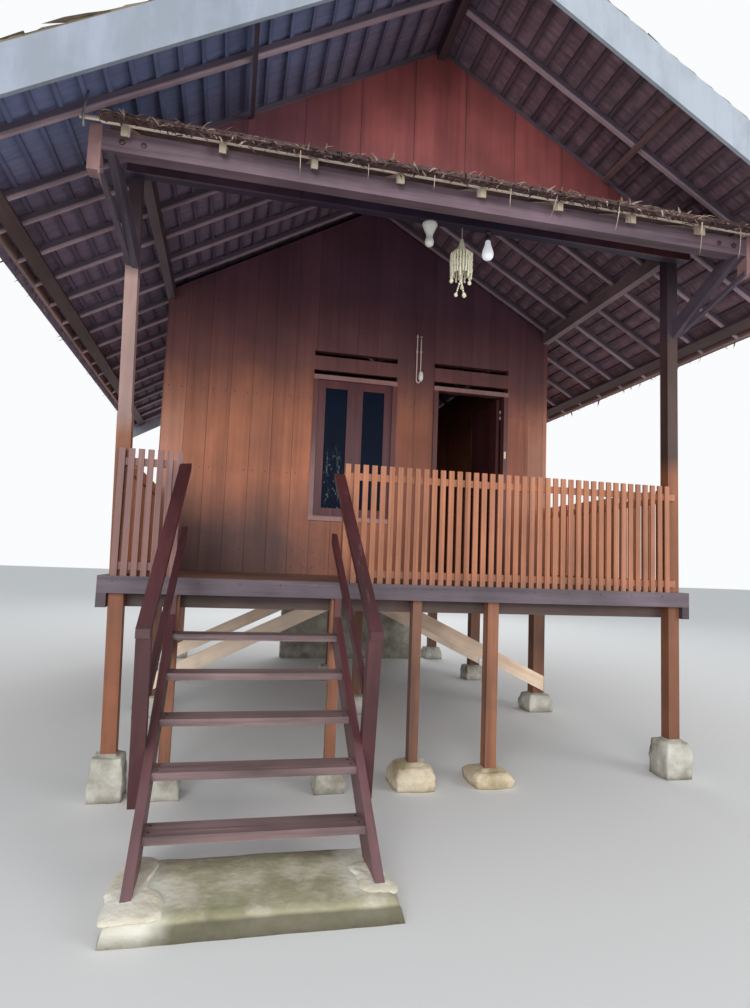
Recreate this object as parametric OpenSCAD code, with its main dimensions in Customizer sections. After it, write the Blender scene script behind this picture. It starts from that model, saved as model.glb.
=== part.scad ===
// Timber house on stilts with a railed porch, an open stair and a thatched gable roof.
// Millimetres, Z up, ground at Z = 0. The porch faces -Y.
// Y is first measured from the front face of the porch rim and then centred on the whole house.

/* [Platform] */
// Height of the porch floor above the ground
deck_z = 1390; // [1100:10:1800]
// Length of the rim beam across the front
rim_w = 4300; // [4100:10:4600]
// Height of the rim beam
rim_h = 110; // [90:5:140]
// Thickness of the rim beam
rim_t = 40; // [30:5:60]
// Depth of the porch from the rim to the house wall
porch_d = 2214; // [1800:10:2600]
// Depth of the house from front wall to back wall
house_d = 3860; // [3400:10:4400]
// Thickness of the floor boards
board_t = 25; // [20:1:35]
// Height of the bearers that carry the floor
bearer_h = 90; // [80:5:120]
// Thickness of the bearers along both sides
side_bearer_t = 60; // [45:5:60]
// Thickness of the bearers across the house
cross_bearer_t = 60; // [45:5:80]
// Thickness of a floor joist
joist_t = 45; // [35:5:60]
// Number of floor joists
joist_count = 7; // [5:1:9]

/* [Posts and footings] */
// Side of a square porch post
post_w = 92; // [80:1:110]
// Side of the thinner upper length of the left porch post
post_upper_w = 82; // [70:1:90]
// How far the left post's foot stands in from the side line of the platform
left_foot_in = 30; // [10:2:40]
// How far the left post's head leans out past that side line
left_head_out = 56; // [20:2:60]
// Height above the porch floor where the left post changes
post_splice_h = 1060; // [900:10:1300]
// Side of a square house stilt
stilt_w = 130; // [110:5:140]
// Side of a square middle stilt
mid_stilt_w = 75; // [60:5:90]
// Height of the two front corner blocks
block_h = 280; // [200:10:320]
// Side of the left front block
block_left_w = 220; // [190:5:260]
// Side of the right front block
block_right_w = 240; // [200:5:300]
// Height of the footings under the house stilts
footing_h = 190; // [150:10:240]
// Side of the footings under the house stilts
footing_w = 300; // [260:5:340]
// Side of the left slim prop under the rim
prop_left_w = 66; // [55:1:80]
// Side of the right slim prop under the rim
prop_right_w = 84; // [60:1:100]
// Centre of the left slim prop across the front
prop_left_x = -27; // [-150:1:60]
// Centre of the right slim prop across the front
prop_right_x = 547; // [450:1:700]
// Side of the two props behind the head of the stair
stair_prop_w = 70; // [60:1:80]
// Height of the pads under those two props
stair_pad_h = 130; // [100:5:160]
// Side of the pads under those two props
stair_pad_w = 230; // [180:5:260]
// Height of the pad under the left slim prop
pad_left_h = 170; // [120:5:220]
// Height of the pad under the right slim prop
pad_right_h = 114; // [90:2:160]
// Diameter of the pads under the slim props
pad_dia = 330; // [260:10:400]
// Height of the brace boards under the house, measured upright
brace_h = 158; // [120:2:180]
// Thickness of the brace boards under the house
brace_t = 30; // [22:1:40]
// Left end of the masonry pier under the back of the house
pier_x = -480; // [-700:10:-300]
// Width of the masonry pier
pier_w = 2100; // [1500:50:2200]
// Thickness of the masonry pier
pier_t = 200; // [150:10:260]

/* [Walls] */
// Thickness of the plank walls with their studs
wall_t = 80; // [60:5:100]
// How far the outer wall faces stand in from the rim ends
wall_inset = 70; // [65:1:75]
// Height of the top of the wall plates above the floor
plate_top_h = 2820; // [2700:10:2950]
// Height of a wall plate
plate_h = 110; // [90:5:130]
// Width of a wall plate
plate_t = 72; // [65:1:85]
// Left edge of the window opening
window_x = -584; // [-700:1:-500]
// Width of the window opening
window_w = 902; // [800:1:950]
// Height of the window sill above the floor
window_sill_h = 556; // [450:1:700]
// Left edge of the doorway
door_x = 734; // [700:1:800]
// Width of the doorway cut in the wall
door_w = 870; // [830:1:900]
// Height of the window and door heads above the floor
head_h = 2067; // [1980:1:2120]
// Height of the ventilation opening above the heads
vent_h = 280; // [240:1:340]
// Height of the board across the ventilation opening
vent_board_h = 150; // [120:1:180]
// Width of the frame members round window and doorway
frame_w = 50; // [40:1:60]
// How far the frames stand out in front of the wall
frame_proud = 15; // [8:1:25]
// Width of the stiles of the window sashes
sash_w = 84; // [60:1:95]
// Thickness of the window sashes
sash_t = 32; // [26:1:40]
// Thickness of the window glass
glass_t = 5; // [4:1:8]

/* [Door] */
// Thickness of the door leaf
leaf_t = 35; // [30:1:45]
// Gap between the door leaf and its frame
leaf_gap = 7; // [6:0.5:9]
// Diameter of a hinge pin
hinge_pin_d = 8; // [6:0.5:10]
// Outer diameter of a hinge knuckle
hinge_knuckle_d = 16; // [14:0.5:20]
// Length of one hinge knuckle
hinge_knuckle_l = 34; // [26:1:45]
// Width of a hinge flap on the leaf and on the jamb
hinge_flap_w = 30; // [20:1:40]
// Thickness of a hinge flap
hinge_flap_t = 2.5; // [2:0.1:4]
// Running clearance inside the hinges
hinge_fit = 0.4; // [0.3:0.05:0.6]
// Distance of the outer hinges from the ends of the leaf
hinge_end = 180; // [140:5:240]
// Height of the door latch above the floor
latch_h = 1010; // [900:5:1100]

/* [Roof] */
// Slope of the roof in degrees
roof_pitch = 29.6; // [26:0.1:33]
// Depth of the notch that seats a rafter on the outer edge of the wall plate
rafter_notch = 20; // [10:1:30]
// Depth of a rafter, square to the slope
rafter_d = 55; // [45:1:70]
// Thickness of a rafter
rafter_t = 28; // [22:1:40]
// Spacing of the rafters along the roof
rafter_pitch = 438; // [400:1:500]
// Distance of the first left rafter in front of the rim
rafter_first = 560; // [540:1:600]
// How far the right rafters stand behind the left ones
rafter_stagger = 110; // [60:5:150]
// Half width of the roof frame at the rafter ends
rafter_reach = 3010; // [2960:5:3100]
// Thickness of the strips along the rafter ends
eave_strip_t = 18; // [12:1:25]
// Distance of the middle of an eave board in from the rafter ends
eave_board_in = 110; // [90:5:150]
// Width of the boards under the rafters near the eaves
eave_board_w = 90; // [70:1:110]
// Thickness of the eave boards, measured upright
eave_board_t = 20; // [15:1:30]
// How far the thatch runs out past the rafter ends
thatch_over = 130; // [110:5:150]
// Thickness of the thatch
thatch_t = 60; // [50:5:90]
// Thickness of the roof laths
lath_t = 15; // [12:1:20]
// Width of the roof laths
lath_w = 25; // [20:1:35]
// Spacing of the roof laths, measured level
lath_pitch = 128; // [110:1:150]
// Distance from the rafter ends in to the eave lath
lath_eave = 60; // [50:5:90]
// Width of the ridge beam
ridge_beam_w = 60; // [50:5:80]
// Height of the ridge beam under the rafters
ridge_beam_drop = 60; // [50:5:100]
// Distance of the front bargeboards in front of the rim
barge_front = 1058; // [900:5:1200]
// Overhang of the roof behind the back wall
back_overhang = 900; // [700:10:1100]
// Thickness of a bargeboard
barge_t = 25; // [20:1:35]
// How far a bargeboard hangs below the rafter undersides, measured upright
barge_drop = 171; // [140:1:190]
// How far a bargeboard rises above the rafter undersides, measured upright
barge_rise = 110; // [100:1:140]
// How far a bargeboard runs out past the rafter ends
barge_over = 60; // [40:5:80]
// Distance of the pale lookout pole from the middle of the front gable
lookout_x = 1360; // [1200:10:1500]
// Width of a lookout pole
lookout_w = 28; // [24:1:40]
// Thickness of the thatch cap along the ridge
cap_t = 60; // [50:5:90]
// Half width of the ridge cap
cap_reach = 420; // [300:10:500]

/* [Gable and front skirt] */
// Thickness of the red gable boarding
gable_board_t = 25; // [18:1:35]
// Height of the tie beams
tie_h = 150; // [120:5:180]
// Thickness of the tie beams
tie_t = 56; // [40:1:60]
// Width of a king post
king_w = 80; // [60:5:100]
// Distance of the outer beam's middle in front of the rim
beam_y = 516; // [480:1:560]
// Distance of the outer beam's underside below the top of the wall plates
beam_drop = 352; // [300:1:400]
// Height of the outer beam
beam_h = 128; // [110:1:140]
// Thickness of the outer beam
beam_t = 90; // [70:1:110]
// Length of the outer beam
beam_w = 4406; // [4360:2:4440]
// Width of the boards across the ends of the outer beam
end_board_w = 71; // [50:1:90]
// How far an end board reaches below the outer beam
end_board_drop = 128; // [110:1:150]
// How far an end board rises above the outer beam
end_board_rise = 24; // [10:1:30]
// Distance of the strut feet below the top of the wall plates
strut_foot_drop = 780; // [700:5:860]
// Thickness of a strut
strut_t = 45; // [35:1:55]
// Height of a strut, measured upright
strut_h = 130; // [100:1:150]
// Angle by which the struts splay outward in degrees
strut_splay = 8.5; // [7.5:0.1:9.5]
// Side of the slim pole beside each strut
pole_w = 32; // [26:1:40]
// Height of the slim pole's foot above the strut's foot
pole_foot = 16; // [5:1:40]
// Distance of the slim pole's head below the outer beam
pole_head = 150; // [140:1:160]
// Number of short rafters in the front skirt
skirt_rafters = 8; // [5:1:8]
// Distance of the leftmost short rafter from the middle
skirt_first = 2070; // [2000:5:2100]
// Spacing of the short rafters
skirt_rafter_pitch = 550; // [480:5:590]
// Depth of the notches that seat the short rafters on the outer beam
skirt_notch = 30; // [15:1:35]
// Thickness of a short skirt rafter
skirt_rafter_t = 40; // [30:1:50]
// Height of a short skirt rafter
skirt_rafter_h = 55; // [45:1:65]
// Slope of the front skirt in degrees
skirt_pitch = 29; // [22:0.5:32]
// How far the short rafters run out past the middle of the outer beam
skirt_reach = 110; // [80:5:140]
// How far the skirt thatch runs out past the short rafters
skirt_over = 70; // [40:5:100]
// Thickness of the skirt thatch
skirt_t = 70; // [60:5:110]
// Width of the pale pole along the skirt edge
skirt_pole_w = 30; // [24:1:40]

/* [Railings] */
// Height of the slat tops above the floor
slat_top_h = 824; // [760:2:900]
// Width of a slat
slat_w = 38; // [30:1:45]
// Thickness of a slat
slat_t = 15; // [12:1:20]
// Spacing of the slats
slat_pitch = 63; // [55:0.5:72]
// Height of a railing rail
rail_h = 50; // [40:1:65]
// Distance from the slat tops down to the top rail
rail_drop = 60; // [40:2:90]
// Height of the bottom rail above the floor
rail_foot = 40; // [25:1:70]
// Right end of the short front railing
rail_left_end = -1679; // [-1700:1:-1620]
// Left end of the long front railing
rail_right_start = -589; // [-600:1:-560]
// Side of the railing posts at the head of the stair
rail_post_w = 60; // [45:1:70]

/* [Stair] */
// Clear width between the stringers
stair_w = 1035; // [950:1:1080]
// Inner face of the left stringer
stair_x = -1660; // [-1680:1:-1640]
// Number of treads
tread_count = 5; // [5:1:5]
// Rise from tread to tread
riser = 196; // [185:1:202]
// Going from tread to tread
going = 266; // [250:1:280]
// Rise from the top tread to the porch floor
last_rise = 345; // [330:1:360]
// Distance of the top tread's front edge in front of the rim
top_tread_y = 130; // [125:1:160]
// Depth of a tread
tread_d = 165; // [140:1:169]
// Thickness of a tread
tread_t = 38; // [30:1:45]
// Thickness of a stringer
stringer_t = 45; // [38:1:55]
// Height of a stringer, measured upright
stringer_h = 215; // [190:1:240]
// Height of the concrete slab under the stair
stair_slab_h = 95; // [70:1:110]
// Side of a newel post
newel_w = 74; // [65:1:90]
// Height of the newel tops above the ground
newel_top_z = 1150; // [1100:1:1200]
// Height of the newel feet above the ground
newel_foot_z = 240; // [200:1:270]
// Distance of the newel tops in front of the rim
newel_top_y = 885; // [840:1:930]
// How far a newel leans forward from foot to top
newel_lean = 130; // [90:1:160]
// How far the handrails draw together from the newels up to the porch
rail_converge = 85; // [0:1:100]
// Height of the handrail's underside at the porch above the floor
handrail_h = 690; // [640:1:720]
// Height of a handrail, measured upright
handrail_t = 48; // [38:1:60]
// Distance of the middle rail below the handrail
midrail_drop = 370; // [320:1:420]
// Height of a middle rail, measured upright
midrail_h = 70; // [55:1:90]
// Thickness of a middle rail
midrail_t = 35; // [28:1:45]

/* [Fittings] */
// Diameter of a lamp bulb
bulb_d = 62; // [50:1:75]
// Thickness of the looped wall cable
cable_d = 9; // [6:0.5:12]
// Length of the hanging shell chime
chime_l = 440; // [360:10:500]

/* [Hidden] */
$fn = 32;
fit = 0.3;
tan_roof = tan(roof_pitch);
slope_up = 1 / cos(roof_pitch);

rim_half = rim_w / 2;
wall_half = rim_half - wall_inset;
post_half = rim_half - side_bearer_t;
post_in = post_half - post_w;
plate_in = post_half - plate_t;
post_y = rim_t;
bearer_top = deck_z - rim_h;
bearer_bottom = bearer_top - bearer_h;
floor_under = deck_z - board_t;

wall_y = porch_d;
back_y = porch_d + house_d;
plate_top = deck_z + plate_top_h;
plate_bottom = plate_top - plate_h;
row_back_y = back_y - stilt_w;
row_mid_y = (wall_y + row_back_y) / 2;
rows = [wall_y, row_mid_y, row_back_y];

ridge_z = plate_top - rafter_notch + tan_roof * post_half;
rafter_up = rafter_d * slope_up;
lath_low = rafter_up + fit;
lath_up = lath_t * slope_up;
thatch_low = lath_low + lath_up + fit;
thatch_up = thatch_t * slope_up;
barge_y0 = -barge_front;
barge_y1 = back_y + back_overhang;
thatch_reach = rafter_reach + thatch_over;
roof_y0 = barge_y0 + barge_t;
roof_y1 = barge_y1 - barge_t;
beam_mid = -beam_y;
beam_bottom = plate_top - beam_drop;
beam_top = beam_bottom + beam_h;
beam_front = beam_mid - beam_t / 2;
beam_back = beam_mid + beam_t / 2;
tie_y = post_y - tie_t;
gable_y = tie_y - gable_board_t;
tie_bottom = plate_top - tie_h;
gable_rafter_y = (gable_y + post_y) / 2;

head_z = deck_z + head_h;
frame_top = head_z + frame_w / 2;
vent_top = head_z + vent_h;
sill_z = deck_z + window_sill_h;
door_x1 = door_x + door_w;
window_x1 = window_x + window_w;

stair_slope = riser / going;
rail_slope = (deck_z + handrail_h - newel_top_z) / newel_top_y;
rail_front = 5;
rail_t = post_y - rail_front - slat_t;
stair_x1 = stair_x + stair_w;
slab_margin = 75;
slab_front = 165;
slab_d = 610;
stair_foot_y = -top_tread_y - (deck_z - last_rise - stair_slab_h) / stair_slope;
slab_y0 = stair_foot_y - slab_front;
slab_y1 = slab_y0 + slab_d;
stair_prop_xs = [stair_x - stair_prop_w / 4, stair_x1 + stair_prop_w / 4];

mid_y = (min(slab_y0, barge_y0) + barge_y1) / 2;

block_taper = 0.06;
block_shoulder = 0.55;
pad_crown = 0.08;

// Height of the rafter undersides at a distance x from the middle
function roof_under(x) = ridge_z - tan_roof * abs(x);

module place() { translate([0, -mid_y, 0]) children(); }

// Plate drawn in X and Z, from y0 back to y1
module xz_plate(points, y0, y1) {
    translate([0, y1, 0]) rotate([90, 0, 0]) linear_extrude(y1 - y0) polygon(points);
}

// Plate drawn in Y and Z, from x0 to x1
module yz_plate(points, x0, x1) {
    translate([x0, 0, 0]) rotate([90, 0, 90]) linear_extrude(x1 - x0) polygon(points);
}

module box(x0, x1, y0, y1, z0, z1) {
    translate([x0, y0, z0]) cube([x1 - x0, y1 - y0, z1 - z0]);
}

module both_sides() {
    children();
    mirror([1, 0, 0]) children();
}

// Band of a roof slope on the right side, from x0 to x1, with its underside raised by low
module slope_band(x0, x1, low, thick, y0, y1) {
    xz_plate([[x0, roof_under(x0) + low], [x1, roof_under(x1) + low],
        [x1, roof_under(x1) + low + thick], [x0, roof_under(x0) + low + thick]], y0, y1);
}

// Everything below the rafter undersides
module under_roof(y0, y1) {
    reach = rafter_reach + 500;
    xz_plate([[-reach, 0], [reach, 0], [reach, roof_under(reach)], [0, ridge_z],
        [-reach, roof_under(reach)]], y0, y1);
}

// Rough block with sloping sides
module rough_block(x, y, w, h) {
    inset = w * block_taper;
    hull() {
        translate([x - w / 2, y - w / 2, 0]) cube([w, w, h * block_shoulder]);
        translate([x - w / 2 + inset, y - w / 2 + inset, 0]) cube([w - 2 * inset, w - 2 * inset, h]);
    }
}

// Low round pad cast on the ground
module round_pad(x, y, d, h) {
    crown = d * pad_crown;
    translate([x, y, 0]) rotate_extrude()
        polygon([[0, 0], [d / 2, 0], [d / 2, h - crown * 2], [d / 2 - crown, h - crown / 2],
            [d / 2 - crown * 2, h], [0, h]]);
}

module footing_blocks() {
    front_y = post_y + post_w / 2;
    color([0.66, 0.64, 0.58]) {
        rough_block(left_post_x(block_h), front_y, block_left_w, block_h);
        rough_block(post_half - post_w / 2, front_y, block_right_w, block_h);
        round_pad(prop_left_x, front_y, pad_dia, pad_left_h);
        round_pad(prop_right_x, front_y, pad_dia, pad_right_h);
        for (y = rows, side = [-1, 1])
            rough_block(side * (post_half - stilt_w / 2), y + stilt_w / 2, footing_w, footing_h);
        for (y = [rows[0], rows[1]])
            rough_block(0, y + mid_stilt_w / 2, footing_w * 0.8, footing_h);
        for (x = stair_prop_xs) rough_block(x, front_y, stair_pad_w, stair_pad_h);
    }
}

// Middle of the left post at a height z
function left_post_x(z) = let(foot = left_foot_in + post_w / 2 - post_half,
    head = post_upper_w / 2 - left_head_out - post_half)
    foot + (head - foot) * (z - block_h) / (plate_bottom - block_h);

// Length of the left post, which leans outward, from z0 to z1
module left_length(w, z0, z1) {
    x0 = left_post_x(z0);
    x1 = left_post_x(z1);
    xz_plate([[x0 - w / 2, z0], [x0 + w / 2, z0], [x1 + w / 2, z1], [x1 - w / 2, z1]],
        post_y, post_y + post_w);
}

module porch_posts() {
    splice_z = deck_z + post_splice_h;
    color([0.55, 0.3, 0.16]) {
        box(post_in, post_half, post_y, post_y + post_w, block_h, plate_bottom);
        left_length(post_w, block_h, splice_z);
        left_length(post_upper_w, splice_z, plate_bottom);
    }
}

module rim_props() {
    front_y = post_y + post_w / 2;
    color([0.5, 0.28, 0.15]) {
        box(prop_left_x - prop_left_w / 2, prop_left_x + prop_left_w / 2,
            rim_t, front_y + prop_left_w / 2, pad_left_h, floor_under);
        box(prop_right_x - prop_right_w / 2, prop_right_x + prop_right_w / 2,
            rim_t, front_y + prop_right_w / 2, pad_right_h, floor_under);
        for (x = stair_prop_xs)
            box(x - stair_prop_w / 2, x + stair_prop_w / 2, rim_t, rim_t + stair_prop_w,
                stair_pad_h, floor_under);
    }
}

module house_stilts() {
    color([0.48, 0.25, 0.14]) {
        for (y = rows, side = [-1, 1]) {
            x = side * (post_half - stilt_w / 2);
            box(x - stilt_w / 2, x + stilt_w / 2, y, y + stilt_w, footing_h, bearer_bottom);
        }
        for (y = [rows[0], rows[1]])
            box(-mid_stilt_w / 2, mid_stilt_w / 2, y, y + mid_stilt_w, footing_h, bearer_bottom);
    }
}

module side_bearers() {
    color([0.34, 0.22, 0.18])
        both_sides() box(post_half, rim_half, 0, back_y, bearer_bottom, bearer_top);
}

module cross_bearers() {
    first = post_y + post_w;
    color([0.36, 0.23, 0.17]) {
        box(-post_half, post_half, first, first + cross_bearer_t, bearer_bottom, bearer_top);
        for (y = rows)
            box(-post_half, post_half, y, y + cross_bearer_t, bearer_bottom, bearer_top);
    }
}

module rim_beam() {
    color([0.3, 0.26, 0.32]) box(-rim_half, rim_half, 0, rim_t, bearer_top, deck_z);
}

module floor_joists() {
    clear = 60;
    span = 2 * (post_in - joist_t - clear);
    first = post_y + post_w;
    color([0.4, 0.26, 0.18]) {
        for (i = [0 : joist_count - 1]) {
            x = -span / 2 + i * span / (joist_count - 1);
            box(x - joist_t / 2, x + joist_t / 2, first, back_y, bearer_top, floor_under);
        }
        both_sides() box(rim_half - joist_t, rim_half, rim_t, back_y, bearer_top, floor_under);
    }
}

module porch_deck() {
    color([0.45, 0.3, 0.22]) {
        difference() {
            box(-rim_half, rim_half, rim_t, wall_y, floor_under, deck_z);
            box(post_in, post_half, 0, post_y + post_w, floor_under - 1, deck_z + 1);
            box(left_post_x(deck_z) - post_w / 2 - fit, left_post_x(floor_under) + post_w / 2 + fit,
                0, post_y + post_w, floor_under - 1, deck_z + 1);
        }
    }
}

module house_floor() {
    color([0.42, 0.28, 0.2]) box(-rim_half, rim_half, wall_y, back_y, floor_under, deck_z);
}

// Pair of slanting boards from the middle of a bearer to the feet of its outer stilts
module brace_pair(y) {
    foot_x = post_half - 20;
    foot_z = footing_h + 25;
    top_x = mid_stilt_w / 2 + 110;
    top_z = bearer_top - brace_h;
    both_sides()
        xz_plate([[top_x, top_z], [foot_x, foot_z], [foot_x, foot_z + brace_h], [top_x, top_z + brace_h]],
            y - brace_t, y);
}

module underfloor_braces() {
    color([0.66, 0.36, 0.2]) for (y = [rows[0], rows[1]]) brace_pair(y);
}

module masonry_pier() {
    pier_y = row_back_y + (stilt_w - pier_t) / 2;
    color([0.6, 0.58, 0.52])
        box(pier_x, pier_x + pier_w, pier_y, pier_y + pier_t, 0, bearer_bottom);
}

// Cut through the front wall for the window and the vent above it
module window_cut() {
    box(window_x, window_x1, wall_y - 50, wall_y + wall_t + 50, sill_z, vent_top);
}

module front_wall_left() {
    color([0.58, 0.3, 0.17]) difference() {
        box(-wall_half, door_x, wall_y, wall_y + wall_t, deck_z, plate_bottom);
        window_cut();
    }
}

module front_wall_right() {
    color([0.58, 0.3, 0.17])
        box(door_x1, wall_half, wall_y, wall_y + wall_t, deck_z, plate_bottom);
}

module front_wall_over() {
    color([0.5, 0.25, 0.15])
        box(door_x, door_x1, wall_y, wall_y + wall_t, vent_top, plate_bottom);
}

// Gable wall between the plates, up to the rafter undersides
module wall_gable(y0) {
    xz_plate([[-plate_in, plate_bottom], [plate_in, plate_bottom], [plate_in, roof_under(plate_in)],
        [ridge_beam_w / 2, roof_under(ridge_beam_w / 2)],
        [ridge_beam_w / 2, ridge_z - ridge_beam_drop],
        [-ridge_beam_w / 2, ridge_z - ridge_beam_drop],
        [-ridge_beam_w / 2, roof_under(ridge_beam_w / 2)],
        [-plate_in, roof_under(plate_in)]], y0, y0 + wall_t);
}

module front_wall_gable() { color([0.44, 0.2, 0.14]) wall_gable(wall_y); }

module side_wall() {
    box(wall_half - wall_t, wall_half, wall_y + wall_t, back_y - wall_t, deck_z, plate_bottom);
}

module left_wall() { color([0.55, 0.28, 0.16]) mirror([1, 0, 0]) side_wall(); }

module right_wall() { color([0.55, 0.28, 0.16]) side_wall(); }

module back_wall() {
    color([0.55, 0.28, 0.16]) {
        box(-wall_half, wall_half, back_y - wall_t, back_y, deck_z, plate_bottom);
        wall_gable(back_y - wall_t);
    }
}

// Frame round an opening, open above its head member for the vent
module opening_frame(x0, x1, z0, with_sill) {
    y0 = wall_y - frame_proud;
    y1 = wall_y + wall_t;
    for (x = [x0, x1 - frame_w]) box(x, x + frame_w, y0, y1, z0, frame_top);
    box(x0 + frame_w, x1 - frame_w, y0, y1, frame_top - frame_w, frame_top);
    if (with_sill) box(x0 + frame_w, x1 - frame_w, y0, y1, z0, z0 + frame_w);
}

// Boards that leave a narrow slot above and below them over the window and the door
module vent_boards() {
    slot = (vent_top - frame_top - vent_board_h) / 2;
    color([0.58, 0.3, 0.17]) for (x = [[window_x, window_x1], [door_x, door_x1]])
        box(x[0], x[1], wall_y, wall_y + wall_t / 2, frame_top + slot, vent_top - slot);
}

module window_frame() {
    color([0.36, 0.13, 0.12]) opening_frame(window_x, window_x1, sill_z, true);
}

// Two casements side by side, each a flat frame open in the middle
module sash_frames(only_glass) {
    x0 = window_x + frame_w + fit;
    x1 = window_x1 - frame_w - fit;
    z0 = sill_z + frame_w + fit;
    z1 = head_z - frame_w / 2 - fit;
    half = (x1 - x0) / 2;
    y = wall_y + 12;
    for (i = [0, 1]) {
        xa = x0 + i * half + (i == 0 ? 0 : fit / 2);
        xb = x0 + (i + 1) * half - (i == 0 ? fit / 2 : 0);
        if (only_glass)
            box(xa + sash_w, xb - sash_w, y + (sash_t - glass_t) / 2, y + (sash_t + glass_t) / 2,
                z0 + sash_w, z1 - sash_w);
        else difference() {
            box(xa, xb, y, y + sash_t, z0, z1);
            box(xa + sash_w, xb - sash_w, y - 1, y + sash_t + 1, z0 + sash_w, z1 - sash_w);
        }
    }
}

module window_sashes() { color([0.42, 0.14, 0.13]) sash_frames(false); }

module window_glass() { color([0.2, 0.28, 0.3]) sash_frames(true); }

module door_frame() {
    color([0.36, 0.13, 0.12]) opening_frame(door_x, door_x1, deck_z, false);
}

// Hinge line of the door, just inside the room at the right jamb
handle_in = 60;
handle_out = 45;
handle_d = 22;
handle_t = 12;
handle_h = 18;
handle_l = 100;
hinge_x = door_x1 - frame_w - leaf_gap / 2;
hinge_y = wall_y + wall_t + hinge_knuckle_d / 2;
leaf_w = door_w - 2 * frame_w - 2 * leaf_gap;
leaf_z0 = deck_z + leaf_gap;
leaf_z1 = head_z - frame_w / 2 - leaf_gap;
hinge_zs = [leaf_z0 + hinge_end, (leaf_z0 + leaf_z1) / 2, leaf_z1 - hinge_end];

module knuckle(z0, z1, bore) {
    difference() {
        translate([hinge_x, hinge_y, z0]) cylinder(d = hinge_knuckle_d, h = z1 - z0);
        translate([hinge_x, hinge_y, z0 - 1]) cylinder(d = bore, h = z1 - z0 + 2);
    }
}

// Fixed half of each hinge: pin, two end knuckles and a flap on the jamb's inner face
module door_hinges() {
    wall_in = wall_y + wall_t;
    span = hinge_knuckle_l;
    color([0.45, 0.44, 0.42]) for (z = hinge_zs) {
        translate([hinge_x, hinge_y, z - span * 1.5]) cylinder(d = hinge_pin_d, h = span * 3);
        for (s = [-1, 1]) {
            a = s < 0 ? z - span * 1.5 : z + span / 2 + hinge_fit;
            translate([hinge_x, hinge_y, a]) cylinder(d = hinge_knuckle_d, h = span - hinge_fit);
            box(hinge_x, hinge_x + hinge_flap_w, wall_in, wall_in + hinge_flap_t,
                a, a + span - hinge_fit);
        }
    }
}

// The leaf is drawn shut and turned open about the hinge line
module door_shut() {
    wall_in = wall_y + wall_t;
    leaf_x1 = hinge_x - leaf_gap / 2;
    box(leaf_x1 - leaf_w, leaf_x1, wall_in - leaf_t, wall_in, leaf_z0, leaf_z1);
    for (z = hinge_zs) {
        knuckle(z - hinge_knuckle_l / 2, z + hinge_knuckle_l / 2, hinge_pin_d + 2 * hinge_fit);
        difference() {
            box(hinge_x - hinge_flap_w - leaf_gap, hinge_x, wall_in, wall_in + hinge_flap_t,
                z - hinge_knuckle_l / 2, z + hinge_knuckle_l / 2);
            translate([hinge_x, hinge_y, z - hinge_knuckle_l])
                cylinder(d = hinge_knuckle_d - 1, h = 2 * hinge_knuckle_l);
        }
    }
    door_handle(leaf_x1 - leaf_w + handle_in, wall_in - leaf_t - handle_out, 0);
    door_handle(leaf_x1 - leaf_w + handle_in, wall_in, handle_out - handle_t);
}

// Lever on a round stem that starts at y, with the lever grip further out by grip
module door_handle(x, y, grip) {
    z = deck_z + latch_h;
    translate([x, y + handle_out, z]) rotate([90, 0, 0]) cylinder(d = handle_d, h = handle_out);
    box(x - handle_d / 2, x + handle_l, y + grip, y + grip + handle_t, z - handle_h / 2, z + handle_h / 2);
}

module door_leaf() {
    color([0.3, 0.09, 0.1])
        translate([hinge_x, hinge_y, 0]) rotate([0, 0, -90]) translate([-hinge_x, -hinge_y, 0])
            door_shut();
}

module wall_plates() {
    color([0.33, 0.2, 0.16])
        both_sides() box(plate_in, post_half, post_y, back_y, plate_bottom, plate_top);
}

module tie_beams() {
    king_top = ridge_z - ridge_beam_drop;
    color([0.2, 0.13, 0.14]) {
        intersection() {
            box(-rim_half, rim_half, tie_y, post_y, tie_bottom, plate_top);
            under_roof(tie_y, post_y);
        }
        box(-king_w / 2, king_w / 2, tie_y, post_y, plate_top, king_top);
    }
}

module gable_boarding() {
    color([0.5, 0.17, 0.12]) difference() {
        intersection() {
            xz_plate([[-rim_half, tie_bottom], [rim_half, tie_bottom], [rim_half, ridge_z],
                [-rim_half, ridge_z]], gable_y, tie_y);
            under_roof(gable_y - 1, tie_y + 1);
        }
        box(-ridge_beam_w / 2, ridge_beam_w / 2, gable_y - 1, tie_y + 1,
            ridge_z - ridge_beam_drop, ridge_z + 1);
    }
}

module outer_beam() {
    color([0.36, 0.27, 0.3])
        box(-beam_w / 2, beam_w / 2, beam_front, beam_back, beam_bottom, beam_top);
}

// Board that leans forward and outward from the front of the right post at x.
// Its lower edge runs from foot to head, and it is cut off at the post, the beam's front and top.
module strut(x, thick, foot, head, tall, top) {
    reach = post_y - beam_front;
    rise = (head - foot) / reach;
    intersection() {
        translate([x, post_y, 0]) rotate([0, 0, strut_splay])
            yz_plate([[reach, foot - rise * reach], [-2 * reach, foot + rise * 2 * reach],
                [-2 * reach, foot + rise * 2 * reach + tall], [reach, foot - rise * reach + tall]],
                0, thick);
        box(x - reach, x + reach, beam_front, post_y, deck_z, top);
    }
}

module beam_struts() {
    foot = plate_top - strut_foot_drop;
    color([0.24, 0.15, 0.16]) both_sides() {
        strut(post_half - strut_t, strut_t, foot, beam_bottom, strut_h, beam_bottom);
        strut(post_half, pole_w, foot + pole_foot, beam_bottom - pole_head, pole_w, beam_bottom);
        box(beam_w / 2, beam_w / 2 + end_board_w, beam_front, beam_back,
            beam_bottom - end_board_drop, beam_top + end_board_rise);
    }
}

module ridge_beam() {
    color([0.24, 0.16, 0.15])
        box(-ridge_beam_w / 2, ridge_beam_w / 2, roof_y0, roof_y1,
            ridge_z - ridge_beam_drop, roof_under(ridge_beam_w / 2) + rafter_up);
}

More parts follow.
